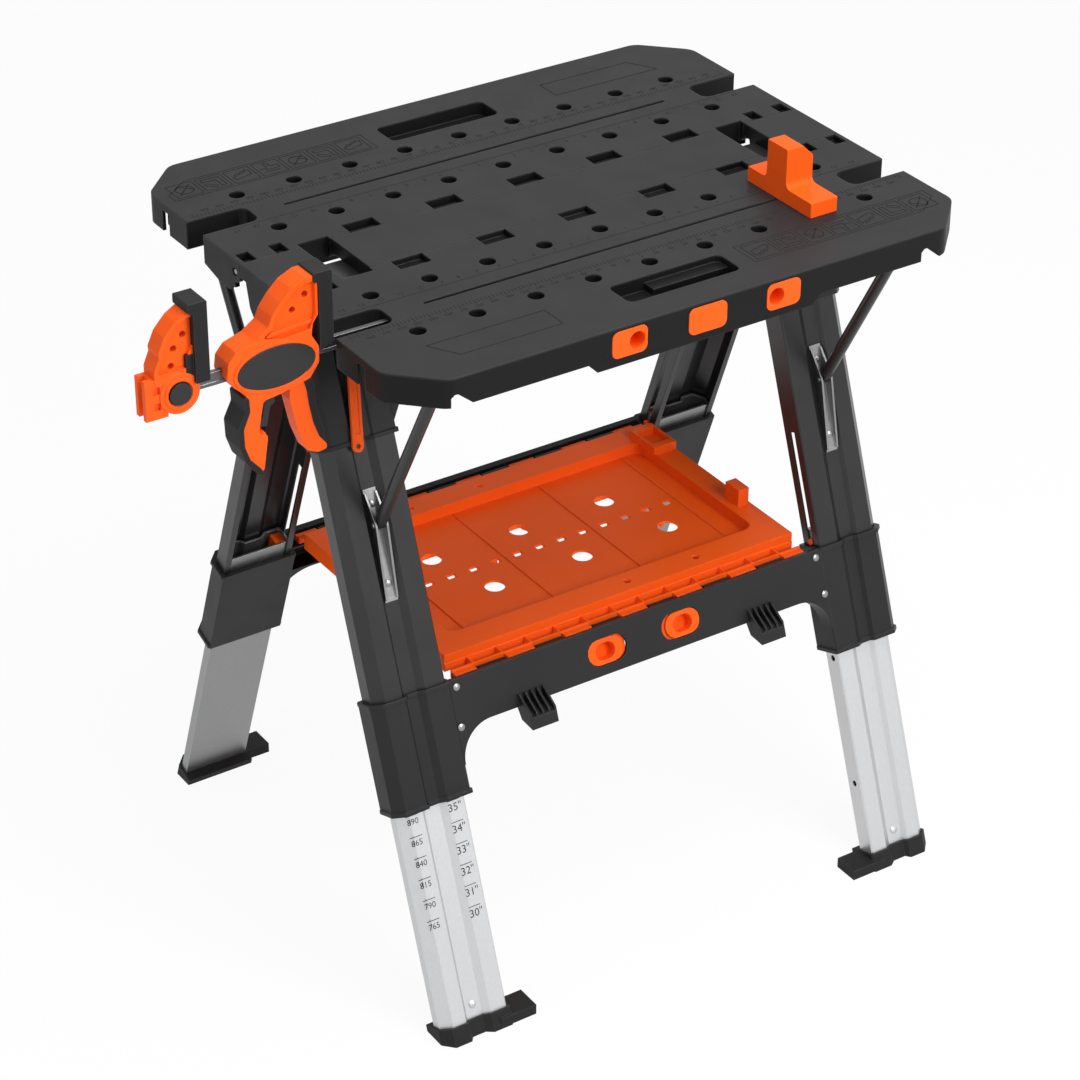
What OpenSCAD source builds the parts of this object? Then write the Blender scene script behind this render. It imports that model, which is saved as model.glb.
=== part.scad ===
// Folding workbench: two hinged worktop panels on a centre section, two A-frame leg
// pairs with pull-out aluminium feet, a lift-up tray, a bar clamp and a bench dog.
// Millimetres. X runs along the bench, Y across it, Z up; the floor is Z = 0.

/* [Worktop] */
// Length of the worktop
top_l = 787.4; // [760:0.2:820]
// Depth of the worktop over both panels
top_w = 635; // [625:1:650]
// Height of the worktop above the floor, feet drawn out
top_h = 890; // [880:1:900]
// Height of the panel rim
rim_h = 36; // [33:0.5:38]
// Height of the deep middle stretch of the rim
deep_rim_h = 48; // [44:0.5:50]
// Thickness of the moulded top skin
skin_t = 4; // [3:0.25:4.5]
// Thickness of the rim walls
wall_t = 4; // [3:0.25:5]
// Thickness of the ribs under the panels
rib_t = 2.5; // [2:0.25:4]
// Distance of the joint line between centre and panel from the middle
joint_y = 43.8; // [42:0.1:45]
// Run of the corner chamfers along the rim
corner_run = 54; // [40:1:60]

/* [Dog holes] */
// Diameter of the dog holes
dog_d = 20; // [18:0.1:20.5]
// Number of dog holes in a row
dog_n = 9; // [9:1:9]
// Pitch of the dog holes
dog_pitch = 77.3; // [76:0.1:78]
// Distance of the inner row from the middle
inner_row_y = 103.2; // [102:0.1:105]
// Distance of the outer row from the middle
outer_row_y = 203.5; // [202:0.1:206]

/* [Clamp notches] */
// Distance of the notch centre line from the middle
notch_y = 151.1; // [150:0.1:152]
// Width of the notches
notch_w = 40.8; // [38:0.1:41]
// Depth of the notches from the worktop's ends
notch_l = 76.2; // [70:0.1:80]
// Radius of the notch's inner corners
notch_r = 12; // [8:0.5:14]
// Width of the groove between the notches
groove_w = 6; // [5:0.1:7]

/* [Hinges] */
// Diameter of the hinge rods
rod_d = 6; // [5:0.1:6.5]
// Distance of the hinge rods outside the joint line
rod_out = 13.2; // [13:0.1:14]
// Depth of the hinge rods below the worktop
rod_down = 16; // [15:0.1:17]
// Width of a centre hinge arm
arm_w = 40; // [34:0.5:42]
// Pitch of the centre hinge arms
arm_pitch = 113.5; // [110:0.5:115]

/* [Legs] */
// Tilt of the legs from upright
leg_tilt = 20; // [19:0.1:20.5]
// Distance of the leg's inner side from the middle
leg_in_x = 279; // [277:0.5:281]
// Distance of the leg's outer side from the middle
leg_out_x = 368; // [366:0.5:369]
// Normal depth of the aluminium foot tube
tube_depth = 26; // [24:0.5:28]
// Wall of the aluminium foot tube
tube_t = 2.5; // [2:0.1:3]
// Sheet thickness of the upper leg channel
leg_sheet = 2; // [1.6:0.1:2.4]
// Travel of the feet, measured along the leg
foot_travel = 135; // [100:1:140]
// Diameter of the leg pivot pins
pivot_d = 10; // [8:0.2:10.4]
// Depth of the leg pivots below the worktop
pivot_down = 48; // [47:0.5:49]
// Distance of the leg pivots from the middle
pivot_y = 15; // [14.8:0.1:15.5]

/* [Crossbeams] */
// Height of a crossbeam, measured along the leg
beam_h = 60; // [56:1:64]
// Normal thickness of a crossbeam
beam_t = 24; // [22:0.5:25]
// Top of a crossbeam, measured along the leg from the floor
beam_top_w = 441; // [436:1:446]
// Length of the sleeves, measured along the leg
sleeve_l = 140; // [130:1:146]

/* [Tray] */
// Half length of the tray
tray_hx = 257; // [250:0.5:258]
// Depth of the tray's pan below its rim
pan_d = 15; // [12:0.5:18]
// Thickness of the tray's walls
tray_t = 3; // [2.4:0.1:3.5]
// Diameter of the round holes in the tray
tray_hole_d = 26; // [20:0.5:28]

/* [Struts] */
// Diameter of the strut tubes
strut_d = 15; // [13:0.5:16]
// Distance of the struts from the middle
strut_x = 321.5; // [320:0.5:323]
// Diameter of the pins at the struts' ends
strut_pin_d = 6; // [5:0.1:6.5]

/* [Clamp] */
// Height of the clamp bar
bar_h = 16; // [14:0.5:16.5]
// Thickness of the clamp bar
bar_t = 6; // [5:0.1:6.4]
// Length of the clamp bar
bar_l = 540; // [500:1:560]
// Thickness of the clamp's body
clamp_t = 30; // [26:0.5:34]
// Height of the clamp jaws above the bar's middle
jaw_h = 99; // [90:1:110]
// Width of the jaw pads
pad_w = 34; // [30:0.5:36]

/* [Bench dog] */
// Width of the bench dog
dog_w = 46; // [44:0.5:50]
// Height of the bench dog above the worktop
dog_h = 56; // [48:1:70]

/* [Hidden] */

// Overrun of cuts, working gap between pieces, radial clearance of running pins
over = 1;
gap = 0.3;
fit = 0.05;
fine = 64;

// Colours
charcoal = "#3a3a3b";
black = "#232324";
orange = "#ff6a1a";
alloy = "#c9cccf";
steel = "#a8abae";

// Worktop levels and joints
half_l = top_l / 2;
half_w = top_w / 2;
skin_z = top_h - skin_t;
rim_z = top_h - rim_h;
deep_z = top_h - deep_rim_h;
joint_gap = 0.5;
panel_in_y = joint_y + joint_gap;
centre_y = joint_y - joint_gap;
rod_y = joint_y + rod_out;
rod_z = top_h - rod_down;
nose_r = rod_out - joint_gap;
arm_r = 9.5;
arm_h = 16;
arm_side = 0.8;
end_arm_w = 15;
block_in_x = 315;
end_arm_x = [block_in_x + 22, half_l - 14];
opening_l = 40;
opening_x0 = 275;
opening_bite = 8;
hinge_strip_w = 28;
hinge_strip_y = panel_in_y + hinge_strip_w;
corner_soft = 24;
rod_head_d = 10;
rod_head_t = 3.5;
rod_head_sink = 6.5;

// Ribs under the panels
rib_up = 8;
rib_z = rim_z + rib_up;
boss_t = 3.5;
rib_rows_y = [hinge_strip_y + 14, notch_y - notch_w / 2 - 6, notch_y + notch_w / 2 + 8, outer_row_y + 24];

// Handle recess in each panel
handle_hx = 77;
handle_y0 = 230;
handle_y1 = 276;
handle_r = 9;
handle_floor = 18;
handle_step = 9;
handle_step_y = 248;

// Lower edge of the panel rim: hand notches, deep stretch
deep_hx = 148;
deep_slope = 12;
hook_left_x = -337;
hook_right_x = 305.7;
hook_up = 15.5;
hook_flat = 8;
hook_l = 27;
end_deep = 44;
end_slot_y = 223.5;
end_slot_w = 16;
end_slot_h = 27;

// Sockets and push button in the panel rim
socket_x = 105.7;
socket_w = 47;
socket_h = 33;
socket_z = top_h - 21.5;
socket_r = 8;
socket_hole_d = 21;
socket_hole_x = 10;
socket_l = 24;
socket_proud = 0.8;
push_w = 52;
push_l = 14;
push_travel = 4;
push_proud = 1.2;

// Leg frame: heights are measured along the leg, depths square to its outer face
pivot_z = top_h - pivot_down;
pivot_v = 28.7;
face_y = pivot_y + pivot_z * tan(leg_tilt) + pivot_v / cos(leg_tilt);
pivot_w = (face_y - pivot_y) * sin(leg_tilt) + pivot_z * cos(leg_tilt);
barrel_r = 13;
leg_v = 2.35;
tube_v = 7.5;
leg_grow = 3;
sleeve_grow = 6.5;
leg_depth = 34;
sleeve_depth = 42;
leg_bevel = 13;
leg_edge = 2;
land_in_w = 23;
groove_in_run = 9;
groove_floor_w = 21;
groove_out_run = 5;
groove_d = 6;
lip_w = 8;
tube_w0 = 16;
tube_w1 = 461;
foot_top_w = 26;
foot_v = 4.5;
foot_depth = 43;
toe_x = 243;
toe_h = 14;
toe_in = 2;
toe_r = 6;
sleeve_w0 = beam_top_w - sleeve_l;
collar_l = 11;
leg_w0 = sleeve_w0 + collar_l + gap;
head_w0 = 747;
head_w1 = 868;
head_lip = 5;
head_lip_out = 2;
neck_x0 = block_in_x + 9;
neck_w1 = 900;
leg_w1 = 862;
head_v1 = 38;
wing_x = 261;
rivet_d = 9;
rivet_h = 2.5;
foot_rivet_w = 43;
lock_w = 446;
lock_d = 8;
lock_out = 4.5;
lock_block = [14, 16, 22];

// Crossbeam details
beam_w0 = beam_top_w - beam_h;
beam_wall = 4;
beam_end_x = leg_in_x - sleeve_grow;
fillet_r = 45;
ledge_w = beam_top_w - 10;
ledge_t = 3;
ledge_v = 7;
beam_rib_x = [0, 100, 205];
window_x = 54.3;
window_w = 57;
window_h = 34;
window_c = beam_top_w - 31;
latch_w = 50;
latch_h = 33;
latch_travel = 6;
latch_flange = 4;
latch_flange_t = 2;
latch_cup = 11;
lug_x = 169;
lug_w = 37;
lug_out = 22;
lug_ribs = 5;

// Tray levels and its hinge line
tray_pin_r = 2;
knuckle_r = 4.5;
knuckle_pitch = 82;
knuckle_w = 38;
knuckle_gap = 3;
tray_pin_v = 15;
tray_pin_w = beam_top_w - 4;
tray_pin_y = face_y - tray_pin_v * cos(leg_tilt) - tray_pin_w * sin(leg_tilt);
tray_pin_z = tray_pin_w * cos(leg_tilt) - tray_pin_v * sin(leg_tilt);
tray_rim_z = tray_pin_z + 18.5;
pan_z = tray_rim_z - pan_d;
pan_hx = 226;
pan_hy = 127;
pan_r = 14;
rim_out_y = 165;
comb_out_y = 181.5;
comb_z0 = tray_pin_z - 4;
comb_z1 = tray_pin_z + 6.5;
comb_t = 2.5;
rod_half = tray_hx - 12;

// Struts
strut_pin_y = 261.4;
strut_pin_z = rim_z - 6;
hook_v = -2.2;
hook_w = 649.4;
hook_y = face_y - hook_v * cos(leg_tilt) - hook_w * sin(leg_tilt);
hook_z = hook_w * cos(leg_tilt) - hook_v * sin(leg_tilt);
strut_l = norm([strut_pin_y - hook_y, strut_pin_z - hook_z]);
strut_lean = atan2(strut_pin_y - hook_y, strut_pin_z - hook_z);
strut_wall = 1.5;
strut_flat = 10;
strut_flat_l = 20;
mouth_turn = 58;
ear_t = 2.5;
ear_x = strut_flat / 2 + 1;
ear_r = 9;

// Strut bracket on the leg
bracket_w0 = 554;
bracket_w1 = 691;
bracket_t = 2;
bracket_bolts_w = [576, 673];

// Clamp, places along X
clamp_y = -notch_y;
bar_z = top_h - 15;
bar_x0 = -612;
pad_x = -394.5;
pad_t = 15;
body_x = -466;
body_hx = 50;
body_hz = 26;
end_x = -582;
end_pad_x = -547;
trigger_x = body_x + 28;
trigger_z = bar_z - 22;
trigger_pin_r = 2.5;
release_x = body_x - 4;
release_z = bar_z - 30;
release_pin_r = 2;

// The origin is the middle of the footprint box, floor level
frame_x = -(end_x - 41 + half_l) / 2;

module placed() { translate([frame_x, 0, 0]) children(); }

// Plain helpers
module slab(x, y, z) {
    translate([min(x), min(y), min(z)])
        cube([max(x) - min(x), max(y) - min(y), max(z) - min(z)]);
}
module rod_x(r, x) { translate([x[0], 0, 0]) rotate([0, 90, 0]) cylinder(r = r, h = x[1] - x[0], $fn = fine); }
module rod_y(r, y) { translate([0, y[1], 0]) rotate([90, 0, 0]) cylinder(r = r, h = y[1] - y[0], $fn = fine); }
module plate_xz(y) { translate([0, y[1], 0]) rotate([90, 0, 0]) linear_extrude(y[1] - y[0]) children(); }
module plate_yz(x) { translate([x[0], 0, 0]) rotate([90, 0, 90]) linear_extrude(x[1] - x[0]) children(); }
module both_x() {
    children();
    mirror([1, 0, 0]) children();
}
module turned() { rotate([0, 0, 180]) children(); }

// Outline whose corners are rounded, one radius per corner
function unit(v) = v / norm(v);
function corner_arc(a, b, c, r, n) = r == 0 ? [b] :
    let(u = unit(a - b), v = unit(c - b), h = acos(u * v) / 2, o = b + unit(u + v) * r / sin(h),
        s = b + u * r / tan(h) - o, e = b + v * r / tan(h) - o, a0 = atan2(s.y, s.x),
        turn = (atan2(e.y, e.x) - a0 + 540) % 360 - 180)
    [for (i = [0:n]) o + r * [cos(a0 + turn * i / n), sin(a0 + turn * i / n)]];
function softened(p, r, n = 4) = [for (i = [0:len(p) - 1])
    for (q = corner_arc(p[(i + len(p) - 1) % len(p)], p[i], p[(i + 1) % len(p)], r[i], n)) q];
module rounded_rect(w, h, r) {
    polygon(softened([[-w, -h] / 2, [w, -h] / 2, [w, h] / 2, [-w, h] / 2], [r, r, r, r]));
}

// Worktop panel, drawn as the front one; the rear one is the same piece turned round
module panel_outline(in) {
    x = half_l - in;
    y = half_w - in;
    c = corner_run - in * (2 - sqrt(2));
    s = corner_soft;
    polygon(softened([[-x, -panel_in_y], [-x, c - y], [c - x, -y], [x - c, -y], [x, c - y], [x, -panel_in_y]],
        [0, s, s, s, s, 0]));
}
module notch_outline(grow) {
    x0 = half_l - notch_l - grow;
    h = notch_w / 2 + grow;
    r = notch_r + grow;
    polygon(softened([[half_l + over, h - notch_y], [x0, h - notch_y], [x0, -h - notch_y], [half_l + over, -h - notch_y]],
        [0, r, r, 0]));
}
module cavity_outline() {
    difference() {
        panel_outline(wall_t);
        translate([-half_l, -hinge_strip_y]) square([top_l, hinge_strip_y]);
        both_x() notch_outline(wall_t);
    }
}
module dog_holes_at() {
    for (i = [0:dog_n - 1], y = [inner_row_y, outer_row_y])
        translate([(i - (dog_n - 1) / 2) * dog_pitch, -y, 0]) children();
}
function hook_notch(x) = [[x, rim_z], [x, rim_z + hook_up - hook_flat / 2], [x + hook_flat / 2, rim_z + hook_up],
    [x + hook_flat, rim_z + hook_up], [x + hook_l, rim_z]];
module panel_rim_drop() {
    plate_xz([-half_w, -half_w + wall_t])
        polygon([[-deep_hx - deep_slope, rim_z + over], [-deep_hx - deep_slope, rim_z], [-deep_hx, deep_z],
            [deep_hx, deep_z], [deep_hx + deep_slope, rim_z], [deep_hx + deep_slope, rim_z + over]]);
    both_x() plate_yz([half_l - wall_t, half_l])
        polygon([[-rod_y, rod_z - nose_r + over], [-rod_y - nose_r, top_h - end_deep], [-rod_y - 3 * nose_r, top_h - end_deep],
            [notch_w / 2 - notch_y, rim_z], [notch_w / 2 - notch_y, rim_z + over], [-rod_y, rod_z]]);
}
module panel_ribs() {
    translate([0, 0, rib_z]) linear_extrude(skin_z - rib_z + over) intersection() {
        cavity_outline();
        union() {
            for (i = [0:dog_n])
                translate([(i - dog_n / 2) * dog_pitch - rib_t / 2, -half_w]) square([rib_t, half_w]);
            for (y = rib_rows_y) translate([-half_l, -y - rib_t / 2]) square([top_l, rib_t]);
        }
    }
    dog_holes_at() translate([0, 0, rib_z]) cylinder(d = dog_d + 2 * boss_t, h = skin_z - rib_z + over, $fn = fine);
}
module panel_handle_pan() {
    translate([0, -(handle_y0 + handle_y1) / 2, top_h - handle_floor - skin_t]) linear_extrude(handle_floor)
        rounded_rect(2 * (handle_hx + rib_t), handle_y1 - handle_y0 + 2 * rib_t, handle_r + rib_t);
}
module panel_handle_cut() {
    translate([0, -(handle_y0 + handle_y1) / 2, top_h - handle_step]) linear_extrude(handle_step + over)
        rounded_rect(2 * handle_hx, handle_y1 - handle_y0, handle_r);
    difference() {
        translate([0, -(handle_y0 + handle_y1) / 2, top_h - handle_floor]) linear_extrude(handle_floor)
            rounded_rect(2 * handle_hx, handle_y1 - handle_y0, handle_r);
        slab([-handle_hx / 3, handle_hx], [-handle_step_y, -handle_y0 + over], [top_h - handle_floor - over, top_h - handle_step]);
    }
}
module panel_strut_ears() {
    both_x() for (s = [-1, 1]) translate([strut_x + s * (ear_x + ear_t / 2), -strut_pin_y, 0]) {
        slab([-ear_t / 2, ear_t / 2], [-ear_r, ear_r], [strut_pin_z, skin_z + over]);
        translate([0, 0, strut_pin_z]) rod_x(ear_r, [-ear_t / 2, ear_t / 2]);
    }
}
module arm_pockets(x, w) {
    slab([x - w / 2 - arm_side, x + w / 2 + arm_side], [-rod_y - arm_r - over, -panel_in_y + over], [rim_z - over, top_h + over]);
}
module panel() {
    difference() {
        union() {
            difference() {
                union() {
                    translate([0, 0, rim_z]) linear_extrude(rim_h) panel_outline(0);
                }
                translate([0, 0, rim_z - over]) linear_extrude(rim_h - skin_t + over) cavity_outline();
                slab([-half_l - over, half_l + over], [-rod_y, -panel_in_y + over], [rim_z - over, rod_z]);
            }
            translate([0, -rod_y, rod_z]) rod_x(nose_r, [-half_l, half_l]);
            panel_rim_drop();
            panel_ribs();
            panel_handle_pan();
            panel_strut_ears();
        }
        dog_holes_at() translate([0, 0, deep_z]) cylinder(d = dog_d, h = deep_rim_h + over, $fn = fine);
        both_x() translate([0, 0, deep_z]) linear_extrude(deep_rim_h + over) notch_outline(0);
        panel_handle_cut();
        // Clamp bar channel and the groove above it
        slab([-half_l - over, half_l + over], [-notch_y - bar_t / 2 - gap, -notch_y + bar_t / 2 + gap],
            [bar_z - bar_h / 2 - gap, bar_z + bar_h / 2 + gap]);
        slab([-half_l + notch_l + 48, half_l - notch_l - 42], [-notch_y - groove_w / 2, -notch_y + groove_w / 2],
            [bar_z, top_h + over]);
        // Hinge: rod bore, pockets of the centre's arms, bite of the centre openings
        translate([0, -rod_y, rod_z]) {
            rod_x(rod_d / 2 + fit, [-half_l - over, half_l + over]);
            both_x() rod_x(rod_head_d / 2 + gap, [half_l - rod_head_sink, half_l + over]);
        }
        for (i = [-2:2]) arm_pockets(i * arm_pitch, arm_w);
        both_x() for (x = end_arm_x) arm_pockets(x, end_arm_w);
        both_x() slab([opening_x0, opening_x0 + opening_l], [-panel_in_y - opening_bite, -panel_in_y + over], [rim_z - over, top_h + over]);
        // Rim: hand notches, sockets, push button, end slots
        for (x = [hook_left_x, hook_right_x]) plate_xz([-half_w - over, -half_w + wall_t + over])
            polygon(concat([[x, rim_z - over]], hook_notch(x), [[x + hook_l, rim_z - over]]));
        both_x() translate([socket_x, 0, socket_z]) plate_xz([-half_w - over, socket_l + gap - half_w])
            rounded_rect(socket_w + 2 * gap, socket_h + 2 * gap, socket_r);
        translate([0, 0, socket_z]) plate_xz([-half_w - over, -half_w + push_l + push_travel + over])
            rounded_rect(push_w + 2 * gap, socket_h + 2 * gap, socket_r);
        both_x() slab([half_l - wall_t - over, half_l + over], [-end_slot_y - end_slot_w / 2, -end_slot_y + end_slot_w / 2],
            [rim_z - over, rim_z + end_slot_h]);
        both_x() translate([0, -strut_pin_y, strut_pin_z])
            rod_x(strut_pin_d / 2 + fit, [strut_x - ear_x - 2 * ear_t, strut_x + ear_x + 2 * ear_t]);
    }
}
module edge_sockets() {
    both_x() translate([socket_x, 0, socket_z]) difference() {
        union() {
            plate_xz([-half_w - socket_proud, socket_l - half_w]) rounded_rect(socket_w, socket_h, socket_r);
        }
        translate([-socket_hole_x, 0, 0]) rod_y(socket_hole_d / 2, [-half_w - socket_proud - over, socket_l - half_w - skin_t]);
    }
}
module push_button() {
    translate([0, 0, socket_z]) plate_xz([-half_w - push_proud, push_l - half_w]) rounded_rect(push_w, socket_h, socket_r);
}
module strut_pins() {
    both_x() translate([0, -strut_pin_y, strut_pin_z]) rod_x(strut_pin_d / 2, [strut_x - ear_x - ear_t, strut_x + ear_x + ear_t]);
}
module strut_right() {
    r = strut_d / 2;
    translate([strut_x, -hook_y, hook_z]) rotate([strut_lean, 0, 0]) {
        difference() {
            translate([0, 0, strut_flat_l - r]) cylinder(r = r, h = strut_l - 2 * strut_flat_l + strut_d, $fn = fine);
            translate([0, 0, strut_flat_l]) cylinder(r = r - strut_wall, h = strut_l - 2 * strut_flat_l, $fn = fine);
        }
        difference() {
            union() {
                slab([-strut_flat / 2, strut_flat / 2], [-r + strut_wall, r - strut_wall], [0, strut_flat_l]);
                rod_x(r - strut_wall, [-strut_flat / 2, strut_flat / 2]);
            }
            rod_x(strut_pin_d / 2 + gap, [-strut_flat, strut_flat]);
            plate_yz([-strut_flat, strut_flat])
                polygon([[-sin(mouth_turn), -cos(mouth_turn)] * (strut_pin_d / 2 + gap),
                    [0, strut_pin_d / 2 + gap], [strut_d, strut_d + strut_pin_d],
                    [cos(mouth_turn), -sin(mouth_turn)] * 2 * strut_d
                        - [sin(mouth_turn), cos(mouth_turn)] * (strut_pin_d / 2 + gap)]);
        }
        difference() {
            union() {
                slab([-strut_flat / 2, strut_flat / 2], [-r + strut_wall, r - strut_wall], [strut_l - strut_flat_l, strut_l]);
                translate([0, 0, strut_l]) rod_x(r - strut_wall, [-strut_flat / 2, strut_flat / 2]);
            }
            translate([0, 0, strut_l]) rod_x(strut_pin_d / 2 + fit, [-strut_flat, strut_flat]);
        }
    }
}

// Centre section
module hinge_arm(x, w) {
    for (s = [-1, 1]) difference() {
        union() {
            slab([x - w / 2, x + w / 2], [s * (centre_y - over), s * rod_y], [rod_z - arm_h / 2, rod_z + arm_h / 2]);
            translate([0, s * rod_y, rod_z]) rod_x(arm_r, [x - w / 2, x + w / 2]);
        }
        translate([0, s * rod_y, rod_z]) rod_x(rod_d / 2 + fit, [x - w, x + w]);
    }
}
spine_top = top_h - 18;
spine_h = 15;
spine_hy = 21;
spine_t = 2.5;
module centre_panel() {
    x = opening_x0 - 1;
    difference() {
        slab([-x, x], [-centre_y, centre_y], [spine_top, top_h]);
        for (i = [-4:3]) slab([i * arm_pitch / 2 + rib_t, (i + 1) * arm_pitch / 2 - rib_t],
            [-centre_y + wall_t, centre_y - wall_t], [spine_top - over, skin_z]);
    }
    for (i = [-2:2]) hinge_arm(i * arm_pitch, arm_w);
}
cheek_t = 7;
cheek_drop_z = pivot_z - 17;
module cheek_outline() {
    polygon(softened([[-32, spine_top + over], [-24, pivot_z], [-9, cheek_drop_z], [9, cheek_drop_z], [24, pivot_z], [32, spine_top + over]],
        [0, 8, 6, 6, 8, 0]));
}
module end_block() {
    difference() {
        union() {
            difference() {
                slab([block_in_x, half_l], [-centre_y, centre_y], [spine_top, top_h]);
                slab([block_in_x + cheek_t, half_l - cheek_t], [-centre_y + wall_t, centre_y - wall_t], [spine_top - over, skin_z]);
            }
            for (x = [block_in_x, half_l - cheek_t]) plate_yz([x, x + cheek_t]) cheek_outline();
            for (x = end_arm_x) hinge_arm(x, end_arm_w);
        }
        slab([block_in_x - over, half_l - cheek_t], [-spine_hy - gap, spine_hy + gap], [spine_top - spine_h - gap, spine_top]);
        for (s = [-1, 1]) translate([0, s * pivot_y, pivot_z])
            rod_x(pivot_d / 2 + fit, [block_in_x - over, half_l - cheek_t / 3]);
    }
}
module spine_channel() {
    x = half_l - cheek_t - gap;
    difference() {
        slab([-x, x], [-spine_hy, spine_hy], [spine_top - spine_h, spine_top]);
        slab([-x - over, x + over], [spine_t - spine_hy, spine_hy - spine_t], [spine_top - spine_h - over, spine_top - spine_t]);
    }
}
module hinge_rods() {
    for (s = [-1, 1]) translate([0, s * rod_y, rod_z]) {
        rod_x(rod_d / 2, [over - half_l, half_l - over]);
        both_x() rod_x(rod_head_d / 2, [half_l - rod_head_sink + gap, half_l - rod_head_sink + rod_head_t]);
    }
}
module leg_pivot_pins() {
    both_x() for (s = [-1, 1]) translate([0, s * pivot_y, pivot_z]) rod_x(pivot_d / 2, [block_in_x + over, half_l - cheek_t / 2]);
}

// Leg pieces, drawn for the front right leg: X as on the bench, Y into the leg, Z up along it
module on_leg() { translate([0, -face_y, 0]) rotate([-leg_tilt, 0, 0]) children(); }
module at_leg(side, end) {
    if (side > 0 && end > 0) on_leg() children();
    if (side < 0 && end > 0) mirror([1, 0, 0]) on_leg() children();
    if (side > 0 && end < 0) mirror([0, 1, 0]) on_leg() children();
    if (side < 0 && end < 0) mirror([0, 1, 0]) mirror([1, 0, 0]) on_leg() children();
}
function leg_outline(g, v, d) = let(a = leg_in_x - g, b = leg_out_x + g,
        p = leg_in_x + land_in_w + g / 2, q = p + groove_in_run, t = leg_out_x - g / 2 - 31, s = t - groove_out_run)
    [[a, v + d], [a, v + leg_edge], [a + leg_edge, v], [p, v], [q, v + groove_d], [s, v + groove_d], [t, v],
        [b - leg_bevel, v], [b, v + leg_bevel], [b, v + d]];
module leg_bar(g, v, d, w) { translate([0, 0, w[0]]) linear_extrude(w[1] - w[0]) polygon(leg_outline(g, v, d)); }
land_x = leg_out_x - 46.5;
module upper_leg() {
    t = leg_sheet;
    difference() {
        leg_bar(leg_grow, leg_v, leg_depth, [leg_w0, leg_w1]);
        leg_bar(leg_grow - t, leg_v + t, leg_depth, [leg_w0 - over, leg_w1 + over]);
        // Slot for the foot lock's button
        slab([leg_in_x - 2 * leg_grow, leg_in_x], [tube_v + tube_depth / 2 - lock_d / 2 - gap, tube_v + tube_depth / 2 + lock_d / 2 + gap],
            [beam_top_w - over, lock_w + foot_travel + lock_d]);
    }
    for (x = [leg_in_x - leg_grow, leg_out_x + leg_grow - lip_w])
        slab([x, x + lip_w], [leg_v + leg_depth - t, leg_v + leg_depth], [leg_w0, leg_w1]);
}
module leg_head() {
    difference() {
        union() {
            leg_bar(leg_grow + 2, 0, head_v1, [head_w0, head_w1]);
            slab([neck_x0, leg_out_x + leg_grow], [leg_v, head_v1], [head_w1 - over, neck_w1]);
            translate([0, pivot_v, pivot_w]) rod_x(barrel_r, [neck_x0, half_l - cheek_t - 2]);
            plate_xz([2, 2 + cheek_t]) polygon([[leg_in_x, head_w0 + head_lip], [wing_x, head_w0 + 34], [wing_x, head_w0 + 50], [neck_x0 + over, head_w1],
                [neck_x0 + over, head_w0 + head_lip]]);
            leg_bar(leg_grow + 2 + head_lip_out, -head_lip_out, head_v1 + head_lip_out, [head_w0, head_w0 + head_lip]);
        }
        leg_bar(leg_grow + gap, leg_v - gap, leg_depth + 2 * gap, [head_w0 - over, leg_w1]);
        translate([0, pivot_v, pivot_w]) rod_x(pivot_d / 2 + fit, [neck_x0 - over, half_l]);
    }
}
module sleeve() {
    difference() {
        union() {
            leg_bar(sleeve_grow, 0, sleeve_depth, [sleeve_w0, beam_top_w]);
            for (w = [sleeve_w0, beam_top_w - head_lip])
                leg_bar(sleeve_grow + head_lip_out, -head_lip_out, sleeve_depth, [w, w + head_lip]);
        }
        leg_bar(leg_grow + gap, leg_v - gap, leg_depth + 2 * gap, [leg_w0 - gap, beam_top_w + over]);
        leg_bar(gap, tube_v - gap, tube_depth + 2 * gap, [sleeve_w0 - over, leg_w0]);
    }
}
module beam_lug() {
    lug_shares = [[0, 0.2], [-1, -0.55], [-1, -1.2], [0, -0.75], [0.25, 0]];
    translate([lug_x - lug_w / 2, 0, beam_w0]) rotate([90, 0, 90]) linear_extrude(lug_w)
        polygon([for (p = lug_shares) p * lug_out]);
    for (i = [0:lug_ribs - 1])
        translate([lug_x - lug_w / 2 + i * (lug_w - rib_t) / (lug_ribs - 1), 0, beam_w0]) rotate([90, 0, 90]) linear_extrude(rib_t)
            polygon([for (p = [[0, 0], [0, 0.75], [-0.15, 0.75], [-1, -0.3], [-1, -0.7]]) p * lug_out]);
}
module beam_half() {
    difference() {
        union() {
            slab([0, beam_end_x + over], [0, beam_t], [beam_w0, beam_top_w]);
            difference() {
                slab([beam_end_x - fillet_r, beam_end_x + over], [0, beam_t], [beam_w0 - fillet_r, beam_w0 + over]);
                translate([beam_end_x - fillet_r, 0, beam_w0 - fillet_r]) rod_y(fillet_r, [-over, beam_t + over]);
            }
        }
        slab([-over, beam_end_x - beam_wall], [beam_wall, beam_t + over], [beam_w0 + beam_wall, ledge_w - ledge_t]);
        slab([-over, beam_end_x], [ledge_v, beam_t + over], [ledge_w, beam_top_w + over]);
        translate([window_x, 0, window_c]) rotate([90, 0, 0]) translate([0, 0, -2 * beam_wall]) linear_extrude(3 * beam_wall)
            rounded_rect(window_w, window_h, window_h / 2 - gap);
    }
    for (x = beam_rib_x) slab([max(x - rib_t, 0), x + rib_t], [beam_wall - gap, beam_t], [beam_w0 + over, ledge_w - over]);
    beam_lug();
}
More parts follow.
